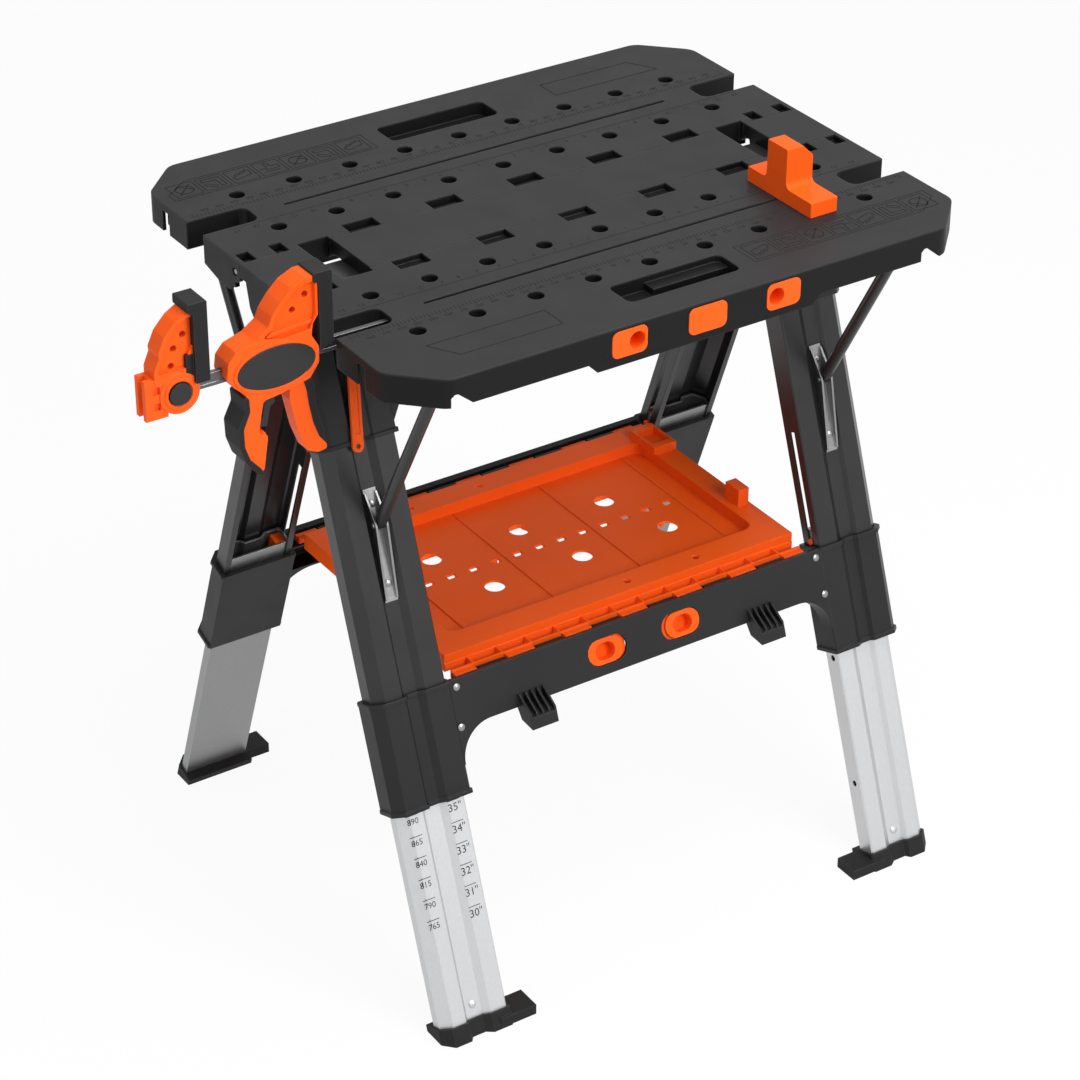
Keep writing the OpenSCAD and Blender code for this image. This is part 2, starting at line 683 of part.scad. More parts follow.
module beam_knuckles() {
    for (x = [1, 3, 5]) difference() {
        union() {
            slab([(x * knuckle_pitch - knuckle_w) / 2, (x * knuckle_pitch + knuckle_w) / 2],
                [tray_pin_v - knuckle_r, tray_pin_v + knuckle_r], [ledge_w - over, tray_pin_w]);
            translate([0, tray_pin_v, tray_pin_w]) rod_x(knuckle_r, [(x * knuckle_pitch - knuckle_w) / 2, (x * knuckle_pitch + knuckle_w) / 2]);
        }
        translate([0, tray_pin_v, tray_pin_w]) rod_x(tray_pin_r + fit, [0, tray_hx]);
    }
}
module crossbeam(end) {
    for (side = [-1, 1]) at_leg(side, end) {
        sleeve();
        beam_half();
        beam_knuckles();
    }
}
module foot_tube() {
    difference() {
        leg_bar(0, tube_v, tube_depth, [tube_w0, tube_w1]);
        leg_bar(-tube_t, tube_v + tube_t, tube_depth - 2 * tube_t, [tube_w0 - over, tube_w1 + over]);
        translate([0, tube_v + tube_depth / 2, lock_w]) rod_x(lock_d / 2 + gap, [leg_in_x - over, leg_in_x + 2 * tube_t]);
        for (w = [120, 290]) translate([0, tube_v + tube_depth / 2, w]) rod_x(lock_d / 2, [leg_in_x - over, leg_in_x + 2 * tube_t]);
    }
    translate([land_x, tube_v + groove_d, foot_rivet_w]) rivet();
}
module rivet() {
    translate([0, -rivet_h, 0]) intersection() {
        rod_y(rivet_d / 2, [0, rivet_h]);
        translate([0, rivet_d, 0]) sphere(r = rivet_d, $fn = fine);
    }
}
module foot_pad() {
    difference() {
        union() {
            leg_bar(leg_grow, foot_v, foot_depth, [-2 * tube_w0, foot_top_w]);
            rotate([leg_tilt, 0, 0]) slab([toe_x, leg_in_x + toe_h], [toe_in + foot_v, foot_depth - toe_in], [0, toe_h]);
        }
        leg_bar(gap, tube_v - gap, tube_depth + 2 * gap, [tube_w0, foot_top_w + over]);
        rotate([leg_tilt, 0, 0]) slab([0, half_l], [-foot_depth, 2 * foot_depth], [-2 * foot_top_w, 0]);
    }
}
module foot_lock() {
    y = tube_v + tube_depth / 2;
    translate([0, y, lock_w]) rod_x(lock_d / 2, [leg_in_x - leg_grow - 2, leg_in_x + tube_t + 2 * over]);
    slab([leg_in_x + tube_t + gap, leg_in_x + tube_t + lock_block[0]],
        [y - lock_block[1] / 2, y + lock_block[1] / 2], [lock_w - lock_block[2] / 2, lock_w + lock_block[2] / 2]);
}
module strut_bracket() {
    v0 = leg_v + groove_d;
    x0 = strut_flat / 2 + 1;
    difference() {
        union() {
            slab([strut_x - x0 - ear_t, strut_x + x0 + ear_t], [v0 - bracket_t, v0], [bracket_w0, bracket_w1]);
            for (x = [strut_x - x0 - ear_t, strut_x + x0]) {
                plate_yz([x, x + ear_t]) polygon([[v0, bracket_w0 + 3], [v0 - 2 * bracket_t, bracket_w0 + 3],
                    [hook_v - strut_pin_d, hook_w - 3], [hook_v - strut_pin_d, hook_w + 3], [v0 - 2 * bracket_t, bracket_w1 - 4], [v0, bracket_w1 - 4]]);
            }
        }
        translate([0, hook_v, hook_w]) rod_x(strut_pin_d / 2, [strut_x - 2 * x0 - ear_t, strut_x + 2 * x0 + ear_t]);
    }
}
module bracket_fasteners() {
    x0 = strut_flat / 2 + 1 + ear_t;
    for (w = bracket_bolts_w) translate([strut_x, leg_v + groove_d - bracket_t, w]) rivet();
    translate([0, hook_v, hook_w]) {
        rod_x(strut_pin_d / 2, [strut_x - x0 - 1.5, strut_x + x0 + 1.5]);
    }
}
module leg_fasteners(end) {
    for (side = [-1, 1]) at_leg(side, end) {
        bracket_fasteners();
        for (p = [[-9, -10], [-5, -59]]) translate([leg_in_x - 5 + p[0], 0, beam_top_w + p[1]]) rivet();
    }
}
module tray_latch() {
    y0 = over / 2;
    translate([window_x + (window_w - latch_w) / 2 - gap - over / 2, 0, window_c]) difference() {
        union() {
            rotate([90, 0, 0]) translate([0, 0, -beam_wall - 2 * gap]) linear_extrude(beam_wall + 2 * gap - y0) rounded_rect(latch_w, latch_h - over, latch_h / 2 - over);
            slab([-window_w / 2 - 2, window_w / 2 + 2], [beam_wall + gap, beam_wall + gap + latch_flange_t], [-window_h / 2, window_h / 2]);
            rotate([90, 0, 0]) translate([0, 0, -latch_cup - 2 * beam_wall]) linear_extrude(latch_cup + beam_wall) rounded_rect(latch_w - 16, latch_h - 6, latch_h / 2 - 4);
        }
        rotate([90, 0, 0]) translate([0, 0, -latch_cup - beam_wall]) linear_extrude(latch_cup + 2 * beam_wall) rounded_rect(latch_w - 22, latch_h - 12, latch_h / 2 - 7);
    }
}
module tray_rod() {
    translate([0, -tray_pin_y, tray_pin_z]) rod_x(tray_pin_r, [-rod_half, rod_half]);
}

// Tray
pad_pitch = 32.6;
tray_hole_pitch = 130;
tray_hole_y = 47.5;
tray_mid_x = 3.5;
tray_rib_w = 28;
tray_rib_h = 1.5;
tray_cell_x = pan_hx / 3;
tray_cell_y = pan_hy / 2;
module comb(s) {
    // One long edge: a ladder of cells, with knuckles round the rod
    difference() {
        slab([-tray_hx, tray_hx], [s * (rim_out_y - over), s * comb_out_y], [comb_z0, comb_z1]);
        for (i = [-6:6]) slab([(i * knuckle_pitch - knuckle_w) / 2, (i * knuckle_pitch + knuckle_w) / 2],
            [s * (rim_out_y + over), s * (comb_out_y - comb_t)], [comb_z0 - over, comb_z1 + over]);
    }
    for (i = [-3:3]) difference() {
        x = [max(i * knuckle_pitch - knuckle_w / 2, -tray_hx), min(i * knuckle_pitch + knuckle_w / 2, tray_hx)];
        union() {
            slab(x, [s * (comb_out_y - over), s * tray_pin_y], [comb_z0, tray_pin_z + knuckle_r]);
            translate([0, s * tray_pin_y, tray_pin_z]) rod_x(knuckle_r, x);
        }
        translate([0, s * tray_pin_y, tray_pin_z]) rod_x(tray_pin_r + (s > 0 ? fit : gap), [-tray_hx - over, tray_hx + over]);
        if (s < 0) slab([-tray_hx - over, tray_hx + over], [s * (tray_pin_y + tray_pin_r + gap), s * comb_out_y],
            [comb_z0 - knuckle_r, tray_pin_z]);
    }
}
module tray() {
    difference() {
        union() {
            slab([-tray_hx, tray_hx], [-rim_out_y, rim_out_y], [comb_z0, tray_rim_z]);
            for (s = [-1, 1]) comb(s);
            tray_right_end();
        }
        // Pan
        translate([0, 0, pan_z]) linear_extrude(pan_d + over) rounded_rect(2 * pan_hx, 2 * pan_hy, pan_r);
        // Underside hollows: below the floor and inside the rims
        for (i = [-3:2], j = [-2:1]) slab([i * tray_cell_x + rib_t, (i + 1) * tray_cell_x - rib_t],
            [j * tray_cell_y + rib_t, (j + 1) * tray_cell_y - rib_t], [comb_z0 - over, pan_z - tray_t]);
        for (s = [-1, 1]) {
            slab([-tray_hx + tray_t, tray_hx - tray_t], [s * (pan_hy + tray_t), s * (rim_out_y - tray_t)], [comb_z0 - over, tray_rim_z - tray_t]);
            slab([s * (pan_hx + tray_t), s * (tray_hx - tray_t)], [-pan_hy - over, pan_hy + over], [comb_z0 - over, tray_rim_z - tray_t]);
        }
        for (i = [-1, 0, 1], s = [-1, 1]) translate([tray_mid_x + i * tray_hole_pitch - s * pad_pitch / 2, s * tray_hole_y, comb_z0])
            cylinder(d = tray_hole_d, h = pan_d, $fn = fine);
        for (i = [-5:6]) slab([tray_mid_x + (i - 0.5) * pad_pitch - 6, tray_mid_x + (i - 0.5) * pad_pitch + 6], [-4.5, 4.5], [comb_z0, pan_z + over]);
        for (x = [-114, -11], s = [1]) translate([x, 145, tray_rim_z - pan_d]) cylinder(d = 10, h = pan_d + over, $fn = fine);
        for (x = [19, 122]) translate([x, -146, tray_rim_z - pan_d]) cylinder(d = 10, h = pan_d + over, $fn = fine);
    }
    for (i = [-1.5:1:1.5]) slab([tray_mid_x + i * tray_hole_pitch - 3, tray_mid_x + i * tray_hole_pitch + 3],
        [16 - pan_hy, pan_hy - 5], [pan_z - over, pan_z + tray_rib_h]);
}
module tray_right_end() {
    x1 = tray_hx - tray_t;
    // Raised corner box, clip post and ribbed ramp
    difference() {
        slab([pan_hx - 4, tray_hx], [86, 143], [tray_rim_z - over, tray_rim_z + 12]);
        slab([pan_hx, x1], [96, 133], [tray_rim_z + 2, tray_rim_z + 13]);
    }
    slab([tray_hx - 20, tray_hx - 4], [-78, -50], [tray_rim_z - over, tray_rim_z + 24]);
}

// Carry link on the front left leg head
link_l = 92;
link_w = 14;
link_t = 4;
link_pivot_w = 836;
link_pivot_x = leg_in_x + 37;
link_lean = 8.6;
link_stud_r = 3;
module at_link() {
    at_leg(-1, 1) translate([link_pivot_x, -head_lip_out - gap, link_pivot_w]) rotate([0, -link_lean, 0]) children();
}
module carry_link() {
    at_link() difference() {
        union() {
            slab([-link_w / 2, link_w / 2], [-link_t, 0], [-link_l, 0]);
            for (z = [0, -link_l]) translate([0, 0, z]) rod_y(link_w / 2, [-link_t, 0]);
        }
        rod_y(link_stud_r + fit, [-2 * link_t, over]);
        translate([0, 0, -link_l]) rod_y(link_stud_r, [-2 * link_t, over]);
        slab([-link_w / 4, link_w / 4], [-link_t - over, 1 - link_t], [link_w - link_l, -link_w]);
    }
}
module link_stud() {
    at_link() {
        rod_y(link_stud_r, [-link_t - gap - over / 2, head_lip_out + gap + over]);
        rod_y(link_w / 2 - over, [-link_t - gap - 2, -link_t - gap]);
    }
}

// Bench dog
dog_x0 = 218;
dog_peg_gap = 0.3;
dog_step = 18.5;
module bench_dog() {
    y1 = outer_row_y + 8;
    y0 = inner_row_y - 11;
    x_peg = 3 * dog_pitch;
    translate([0, 0, top_h]) plate_yz([dog_x0, dog_x0 + dog_w])
        polygon(softened([[-y1, 0], [-y1, dog_step], [10 - notch_y - 20, dog_step], [-notch_y - 8, dog_step + 10],
            [-notch_y - 8, dog_h - 9], [-notch_y + 14, dog_h], [-y0 - 4, dog_h], [-y0, dog_h - 4], [-y0, 0]],
            [0, 2, 0, 6, 4, 4, 2, 2, 0]));
    for (y = [inner_row_y, outer_row_y]) translate([x_peg, -y, top_h - rim_h + rib_up / 2])
        cylinder(d = dog_d - 2 * dog_peg_gap, h = rim_h - rib_up / 2 + over, $fn = fine);
}

// Bar clamp: outlines are shares of the jaw height and the body half length
clamp_arm_shares = [[0.56, 0.02], [0.56, 0.93], [0.28, 0.84], [0.02, 0.62], [-0.06, 0.5], [-0.24, 0.38], [-0.48, 0.3], [-0.6, 0.05],
    [-0.5, -0.12], [-0.2, -0.24], [0.2, -0.24], [0.42, -0.12], [0.47, 0.02]];
module clamp_bar() {
    difference() {
        translate([0, clamp_y, bar_z]) slab([bar_x0, bar_x0 + bar_l], [-bar_t / 2, bar_t / 2], [-bar_h / 2, bar_h / 2]);
        for (s = [-1, 1]) translate([0, clamp_y, bar_z]) slab([bar_x0 - over, bar_x0 + bar_l + over],
            [s * (bar_t / 2 - 1), s * bar_t], [-bar_h / 4, bar_h / 4]);
    }
}
module bar_hole(x) {
    translate([0, clamp_y, bar_z]) slab(x, [-bar_t / 2 - gap, bar_t / 2 + gap], [-bar_h / 2 - gap, bar_h / 2 + gap]);
}
module clamp_body() {
    t = clamp_t / 2;
    difference() {
        translate([0, clamp_y, bar_z]) union() {
            plate_xz([-t, t]) translate([body_x, 0]) polygon(softened([for (p = clamp_arm_shares) p * jaw_h],
                [4, 2, 10, 12, 8, 8, 14, 10, 14, 12, 12, 10, 0]));
            plate_xz([-t, t]) polygon(softened([[body_x - 20, 0], [body_x - 38, -20], [body_x - 46, -60], [body_x - 42, -100], [body_x - 24, -120],
                [body_x - 16, -80], [body_x - 4, -20]], [0, 10, 20, 20, 6, 20, 0]));
        }
        bar_hole([body_x - jaw_h, body_x + jaw_h]);
        // Slot of the trigger and of the release lever
        translate([0, clamp_y, bar_z]) slab([body_x - 12, body_x + 70], [-7, 7], [-40, -bar_h / 2 - 3]);
        translate([release_x, clamp_y, release_z]) slab([-24, 9], [-6, 6], [-40, 8]);
        for (p = [[25, 57], [41, 72]]) translate([body_x + p[0], clamp_y, bar_z + p[1]]) rod_y(3.5, [-clamp_t, clamp_t]);
    }
    translate([trigger_x, clamp_y, trigger_z]) rod_y(trigger_pin_r, [-t, t]);
    translate([release_x, clamp_y, release_z]) rod_y(release_pin_r, [-t, t]);
}
module clamp_cover() {
    for (s = [-1, 1]) translate([body_x, clamp_y + s * (clamp_t / 2 + 1), bar_z]) intersection() {
        slab([-body_hx, body_hx], [-1, 1], [-body_hz, body_hz]);
        plate_xz([-over, over]) polygon(softened([[-body_hx, 0], [-0.62 * body_hx, body_hz * 0.88], [0.55 * body_hx, body_hz], [body_hx, body_hz * 0.3],
            [0.82 * body_hx, -0.7 * body_hz], [0, -0.95 * body_hz], [-0.8 * body_hx, -0.75 * body_hz]], [14, 18, 16, 14, 12, 30, 12]));
    }
}
module clamp_grip() {
    t = clamp_t / 2 + 1.5;
    translate([0, clamp_y, bar_z]) difference() {
        plate_xz([-t, t]) polygon(softened([[body_x - 40, -24], [body_x - 49, -60], [body_x - 45, -102], [body_x - 27, -124],
            [body_x - 30, -100], [body_x - 38, -60]], [4, 20, 20, 4, 12, 20]));
        plate_xz([-clamp_t / 2, clamp_t / 2]) polygon(softened([[body_x - 20, 0], [body_x - 38, -20], [body_x - 46, -60], [body_x - 42, -100], [body_x - 24, -120],
            [body_x - 16, -80], [body_x - 4, -20]], [0, 10, 20, 20, 6, 20, 0]));
    }
}
module clamp_jaw_pad() {
    difference() {
        translate([0, clamp_y, 0]) slab([pad_x - pad_t, pad_x], [-pad_w / 2, pad_w / 2], [bar_z + bar_h / 2 + gap, bar_z + jaw_h]);
        clamp_body();
    }
}
module clamp_trigger() {
    translate([0, clamp_y, 0]) difference() {
        union() {
            plate_xz([-6, 6]) polygon(softened([[trigger_x - 12, trigger_z - 6], [trigger_x + 10, trigger_z - 6], [trigger_x + 18, trigger_z - 50],
                [trigger_x + 34, trigger_z - 100], [trigger_x + 8, trigger_z - 106], [trigger_x - 4, trigger_z - 60]], [0, 0, 30, 6, 12, 30]));
            translate([trigger_x, 0, trigger_z]) rod_y(8, [-6, 6]);
        }
        translate([trigger_x, 0, trigger_z]) rod_y(trigger_pin_r + fit, [-8, 8]);
    }
}
module clamp_release() {
    translate([0, clamp_y, 0]) difference() {
        plate_xz([-5, 5]) polygon(softened([[release_x - 5, release_z + 5], [release_x + 6, release_z + 5], [release_x + 2, release_z - 14],
            [release_x - 8, release_z - 36], [release_x - 16, release_z - 36], [release_x - 9, release_z - 16]], [3, 3, 6, 2, 2, 6]));
        translate([release_x, 0, release_z]) rod_y(release_pin_r + fit, [-8, 8]);
    }
}
module clamp_end_jaw() {
    t = clamp_t / 2 - 3;
    difference() {
        translate([0, clamp_y, bar_z]) union() {
            plate_xz([-t, t]) polygon(softened([[end_x + 20, 10], [end_x + 20, 94], [end_x - 2, 86], [end_x - 22, 54], [end_x - 29, 26], [end_x - 20, 0]],
                [0, 3, 10, 12, 4, 0]));
            translate([end_x, 0, 0]) rod_y(24, [-t, t]);
            slab([end_x - 41, end_x], [-t, t], [-24, 24]);
        }
        bar_hole([bar_x0 - gap, end_x + 40]);
        for (p = [[8, 68], [-3, 53], [-7, 34]]) translate([end_x + p[0], clamp_y, bar_z + p[1]]) rod_y(3.5, [-clamp_t, clamp_t]);
        translate([end_x, clamp_y, bar_z]) rod_y(13 + gap, [-clamp_t, -bar_t / 2 - 2]);
    }
}
end_button_in = 5.5;
module clamp_end_button() {
    translate([end_x, clamp_y, bar_z]) rod_y(13, [-clamp_t / 2, -bar_t / 2 - end_button_in]);
}
module clamp_end_pad() {
    difference() {
        translate([0, clamp_y, 0]) slab([end_pad_x - pad_t, end_pad_x], [-pad_w / 2, pad_w / 2], [bar_z + bar_h / 2 + gap, bar_z + jaw_h + 4]);
        clamp_end_jaw();
    }
}

placed() color(charcoal) centre_panel();
placed() color(charcoal) mirror([1, 0, 0]) end_block();  // end_block_left
placed() color(charcoal) end_block();  // end_block_right
placed() color(black) spine_channel();
placed() color(steel) hinge_rods();
placed() color(steel) leg_pivot_pins();
placed() color(charcoal) panel();  // front_panel
placed() color(orange) edge_sockets();  // front_edge_sockets
placed() color(orange) push_button();  // front_push_button
placed() color(steel) strut_pins();  // front_strut_pins
placed() color(charcoal) turned() panel();  // rear_panel
placed() color(orange) turned() edge_sockets();  // rear_edge_sockets
placed() color(orange) turned() push_button();  // rear_push_button
placed() color(steel) turned() strut_pins();  // rear_strut_pins
placed() color(black) mirror([1, 0, 0]) strut_right();  // strut_front_left
placed() color(black) strut_right();  // strut_front_right
placed() color(black) turned() strut_right();  // strut_rear_left
placed() color(black) turned() mirror([1, 0, 0]) strut_right();  // strut_rear_right
placed() color(black) at_leg(-1, 1) upper_leg();  // upper_leg_front_left
placed() color(black) at_leg(1, 1) upper_leg();  // upper_leg_front_right
placed() color(black) at_leg(-1, -1) upper_leg();  // upper_leg_rear_left
placed() color(black) at_leg(1, -1) upper_leg();  // upper_leg_rear_right
placed() color(charcoal) {  // front_leg_heads
    for (s = [-1, 1]) at_leg(s, 1) leg_head();
    link_stud();
}
placed() color(charcoal) for (s = [-1, 1]) at_leg(s, -1) leg_head();  // rear_leg_heads
placed() color(charcoal) crossbeam(1);  // front_crossbeam
placed() color(charcoal) crossbeam(-1);  // rear_crossbeam
placed() color(steel) for (s = [-1, 1]) at_leg(s, 1) strut_bracket();  // front_strut_brackets
placed() color(steel) for (s = [-1, 1]) at_leg(s, -1) strut_bracket();  // rear_strut_brackets
placed() color(steel) leg_fasteners(1);  // front_leg_fasteners
placed() color(steel) leg_fasteners(-1);  // rear_leg_fasteners
placed() color(orange) at_leg(-1, 1) tray_latch();  // tray_latch_left
placed() color(orange) at_leg(1, 1) tray_latch();  // tray_latch_right
placed() color(steel) tray_rod();  // tray_rest_rod
placed() color(steel) turned() tray_rod();  // tray_hinge_rod
placed() color(alloy) at_leg(-1, 1) foot_tube();  // foot_tube_front_left
placed() color(alloy) at_leg(1, 1) foot_tube();  // foot_tube_front_right
placed() color(alloy) at_leg(-1, -1) foot_tube();  // foot_tube_rear_left
placed() color(alloy) at_leg(1, -1) foot_tube();  // foot_tube_rear_right
placed() color(black) at_leg(-1, 1) foot_pad();  // foot_pad_front_left
placed() color(black) at_leg(1, 1) foot_pad();  // foot_pad_front_right
placed() color(black) at_leg(-1, -1) foot_pad();  // foot_pad_rear_left
placed() color(black) at_leg(1, -1) foot_pad();  // foot_pad_rear_right
placed() color(orange) at_leg(-1, 1) foot_lock();  // foot_lock_front_left
placed() color(orange) at_leg(1, 1) foot_lock();  // foot_lock_front_right
placed() color(orange) at_leg(-1, -1) foot_lock();  // foot_lock_rear_left
placed() color(orange) at_leg(1, -1) foot_lock();  // foot_lock_rear_right
placed() color(orange) tray();
placed() color(orange) carry_link();
placed() color(orange) bench_dog();
placed() color(steel) clamp_bar();
placed() color(orange) clamp_end_jaw();
placed() color(black) clamp_end_pad();
placed() color(black) clamp_end_button();
placed() color(orange) clamp_body();
placed() color(black) clamp_cover();
placed() color(black) clamp_grip();
placed() color(black) clamp_jaw_pad();
placed() color(orange) clamp_trigger();
placed() color(black) clamp_release();
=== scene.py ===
# %% [markdown]
# This lesson dresses a folding workbench. The solids come from the CAD pack, in metres and already
# in place, so every piece added here is measured from the same origin: the middle of the footprint,
# on the floor. The bench itself stands a little to the right of that origin, because the bar clamp
# sticks out on the left. `BENCH_X` holds that distance.

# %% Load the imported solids
import math

import bmesh
import bpy
from mathutils import Matrix, Vector


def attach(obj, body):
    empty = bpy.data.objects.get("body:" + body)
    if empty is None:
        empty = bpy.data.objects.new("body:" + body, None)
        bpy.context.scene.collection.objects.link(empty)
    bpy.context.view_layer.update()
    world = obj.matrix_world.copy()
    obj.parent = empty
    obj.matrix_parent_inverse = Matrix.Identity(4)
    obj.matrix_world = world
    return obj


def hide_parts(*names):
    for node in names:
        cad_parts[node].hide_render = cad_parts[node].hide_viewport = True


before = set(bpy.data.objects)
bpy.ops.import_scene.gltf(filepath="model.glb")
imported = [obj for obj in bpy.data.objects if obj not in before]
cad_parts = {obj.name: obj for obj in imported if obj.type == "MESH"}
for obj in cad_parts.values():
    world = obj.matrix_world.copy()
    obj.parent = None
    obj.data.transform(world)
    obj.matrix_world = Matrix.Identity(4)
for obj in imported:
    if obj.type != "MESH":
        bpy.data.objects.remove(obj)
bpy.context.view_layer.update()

MM = 0.001
INCH = 25.4
BENCH_X = 114.65          # from the frame's origin to the middle of the bench
TOP_Z = 890.0             # height of the worktop
TILT = math.radians(20)   # lean of each leg
LEG_FACE = 352.0          # outer face of the front legs, on the floor, from the middle
NOTCH_Y = -151.1          # middle of the front clamp groove
BAR_Z = 875.0             # middle of the clamp's bar
PANELS = (("front_top", False), ("rear_top", True))


def bench(x, y, z):
    """A point in bench millimetres as a scene point in metres."""
    return Vector(((x + BENCH_X) * MM, y * MM, z * MM))


# %% [markdown]
# Later steps all end alike: a curve or a character is turned into a mesh, and points and faces
# become a piece that rides on a body of the frame. Two functions do this in one place.

# %% Piece helpers
def baked(curve):
    """The mesh that a curve or a character makes. The curve itself is removed."""
    carrier = bpy.data.objects.new(curve.name, curve)
    bpy.context.scene.collection.objects.link(carrier)
    bpy.context.view_layer.update()
    seen = carrier.evaluated_get(bpy.context.evaluated_depsgraph_get())
    made = bpy.data.meshes.new_from_object(seen)
    bpy.data.objects.remove(carrier)
    bpy.data.curves.remove(curve)
    return made


def add_piece(name, points, faces, body, finish, stands_for=None):
    """A named piece on its body, with a finish and, where it has one, the node it replaces."""
    mesh = bpy.data.meshes.new(name)
    mesh.from_pydata(points, [], faces)
    mesh.materials.append(finish)
    made = bpy.data.objects.new(name, mesh)
    bpy.context.scene.collection.objects.link(made)
    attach(made, body)
    if stands_for:
        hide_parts(stands_for)
    return made


# %% [markdown]
# Moulded plastic, paint and metal all have soft edges on the real bench. The solids have sharp
# ones, so each finish rounds its edges for the light with a Bevel node. The angle between the
# rounded and the true normal also tells where an edge is, and that mask makes edges paler: painted
# highlight along the edges, which on plastic, coat and rubber is mixed with wear and dust in
# patches. The alternative, bevelling each mesh, would change the CAD's own meshes.

# %% Finish helpers
class Finish:
    """A material with its node tree and a short way to add nodes and links."""

    def __init__(self, name):
        self.material = bpy.data.materials.new(name)
        self.material.use_nodes = True
        self.tree = self.material.node_tree
        self.shader = self.tree.nodes["Principled BSDF"]
        self.place = self.node("ShaderNodeTexCoord").outputs["Object"]

    def node(self, kind, **values):
        made = self.tree.nodes.new(kind)
        for key, value in values.items():
            setattr(made, key, value)
        return made

    def wire(self, out, into):
        self.tree.links.new(out, into)

    def math(self, operation, a, b=None, clamp=False):
        made = self.node("ShaderNodeMath", operation=operation, use_clamp=clamp)
        for socket, value in zip(made.inputs, (a, b)):
            if value is None:
                continue
            if isinstance(value, (int, float)):
                socket.default_value = value
            else:
                self.wire(value, socket)
        return made.outputs[0]

    def stretched(self, scale, turn=(0, 0, 0)):
        made = self.node("ShaderNodeMapping")
        made.inputs["Scale"].default_value = scale
        made.inputs["Rotation"].default_value = turn
        self.wire(self.place, made.inputs["Vector"])
        return made.outputs["Vector"]

    def noise(self, scale, detail=3.0, where=None):
        made = self.node("ShaderNodeTexNoise")
        made.inputs["Scale"].default_value = scale
        made.inputs["Detail"].default_value = detail
        self.wire(where or self.place, made.inputs["Vector"])
        return made.outputs["Fac"]

    def edge(self, radius, strength=4.0):
        """0 on flats, towards 1 within radius of an edge, with the rounded normal."""
        soft = self.node("ShaderNodeBevel", samples=6)
        soft.inputs["Radius"].default_value = radius
        true = self.node("ShaderNodeNewGeometry").outputs["True Normal"]
        dot = self.node("ShaderNodeVectorMath", operation="DOT_PRODUCT")
        self.wire(soft.outputs["Normal"], dot.inputs[0])
        self.wire(true, dot.inputs[1])
        away = self.math("SUBTRACT", 1.0, dot.outputs["Value"])
        return self.math("MULTIPLY", away, strength, clamp=True), soft.outputs["Normal"]

    def blend(self, amount, low, high):
        made = self.node("ShaderNodeMix", data_type="RGBA")
        self.wire(amount, made.inputs["Factor"])
        for socket, value in ((made.inputs[6], low), (made.inputs[7], high)):
            if isinstance(value, tuple):
                socket.default_value = (*value, 1.0)
            else:
                self.wire(value, socket)
        return made.outputs[2]

    def ramp(self, value, low, high):
        made = self.node("ShaderNodeMapRange")
        self.wire(value, made.inputs["Value"])
        made.inputs["To Min"].default_value = low
        made.inputs["To Max"].default_value = high
        return made.outputs["Result"]

    def bump(self, height, distance, strength, under=None):
        made = self.node("ShaderNodeBump")
        made.inputs["Distance"].default_value = distance
        made.inputs["Strength"].default_value = strength
        self.wire(height, made.inputs["Height"])
        if under is not None:
            self.wire(under, made.inputs["Normal"])
        return made.outputs["Normal"]


def lighter(colour, share):
    return tuple(min(c + (1 - c) * share, 1.0) for c in colour)


def darker(colour, share):
    return tuple(c * (1 - share) for c in colour)


# %% [markdown]
# The worktop, heads and beams are injection-moulded plastic with a fine spark-eroded grain: dull,
# slightly mottled, paler at the edges with painted highlight and wear. The worktop also gets
# painted shade: it is drawn darker below the level of its face. The orange parts are the same kind
# of moulding with less grain. One function makes them all, with a colour, a roughness and a grain
# depth.

# %% Moulded plastic
MOTTLE_SCALE = 9.0        # noise scales, in waves a metre
SPARK_GRAIN_SCALE = 1700.0
SPARK_GRAIN_DEPTH = 0.00012
RECESS_SHADE = 0.62       # painted shade: how much darker the top is drawn below RECESS_Z
RECESS_Z = 0.8875         # below this height every face of the top gets painted shade: recess floors and sides


def moulded(name, colour, roughness, grain, edge_gain, edge_radius, shine, recess_z=None):
    f = Finish(name)
    edge, rounded = f.edge(edge_radius)
    cloud = f.noise(MOTTLE_SCALE, 4.0)
    fine = f.noise(SPARK_GRAIN_SCALE, 2.0)
    base = f.blend(cloud, darker(colour, 0.10), lighter(colour, 0.008))
    # Painted shade: below recess_z the colour is drawn darker, on recess floors and on the top's
    # sides.
    if recess_z is not None:
        height = f.node("ShaderNodeSeparateXYZ")
        f.wire(f.place, height.inputs[0])
        below = f.math("LESS_THAN", height.outputs["Z"], recess_z)
        base = f.blend(below, base, darker(colour, RECESS_SHADE))
    # Painted highlight and wear: edges are drawn paler where the edge mask and a noise meet.
    worn_and_highlit = f.blend(f.math("MULTIPLY", edge, f.noise(60.0)), base, lighter(colour, edge_gain))
    f.wire(worn_and_highlit, f.shader.inputs["Base Color"])
    f.wire(f.ramp(f.noise(25.0), roughness - 0.07, roughness + 0.07), f.shader.inputs["Roughness"])
    f.wire(f.bump(fine, SPARK_GRAIN_DEPTH, grain, rounded), f.shader.inputs["Normal"])
    f.shader.inputs["Specular IOR Level"].default_value = shine
    return f.material


CHARCOAL = (0.014, 0.014, 0.015)
FRAME_GREY = (0.010, 0.010, 0.011)
BLACK = (0.012, 0.012, 0.0125)
ORANGE = (0.95, 0.105, 0.004)
worktop_plastic = moulded("charcoal_grained_plastic", CHARCOAL, 0.50, 0.5, 0.05, 0.0022, 0.15,
                          RECESS_Z)
frame_plastic = moulded("dark_grained_plastic", FRAME_GREY, 0.46, 0.45, 0.05, 0.0018, 0.22)
trim_plastic = moulded("black_smooth_plastic", BLACK, 0.36, 0.2, 0.04, 0.0010, 0.35)
orange_plastic = moulded("orange_satin_plastic", ORANGE, 0.44, 0.18, 0.05, 0.0014, 0.10)
print("plastics:", 4)

# %% [markdown]
# The upper legs, struts and spine are rolled sheet with a satin black powder coat, which shows a
# slight orange peel. Rubber feet, pads and grips are duller still.

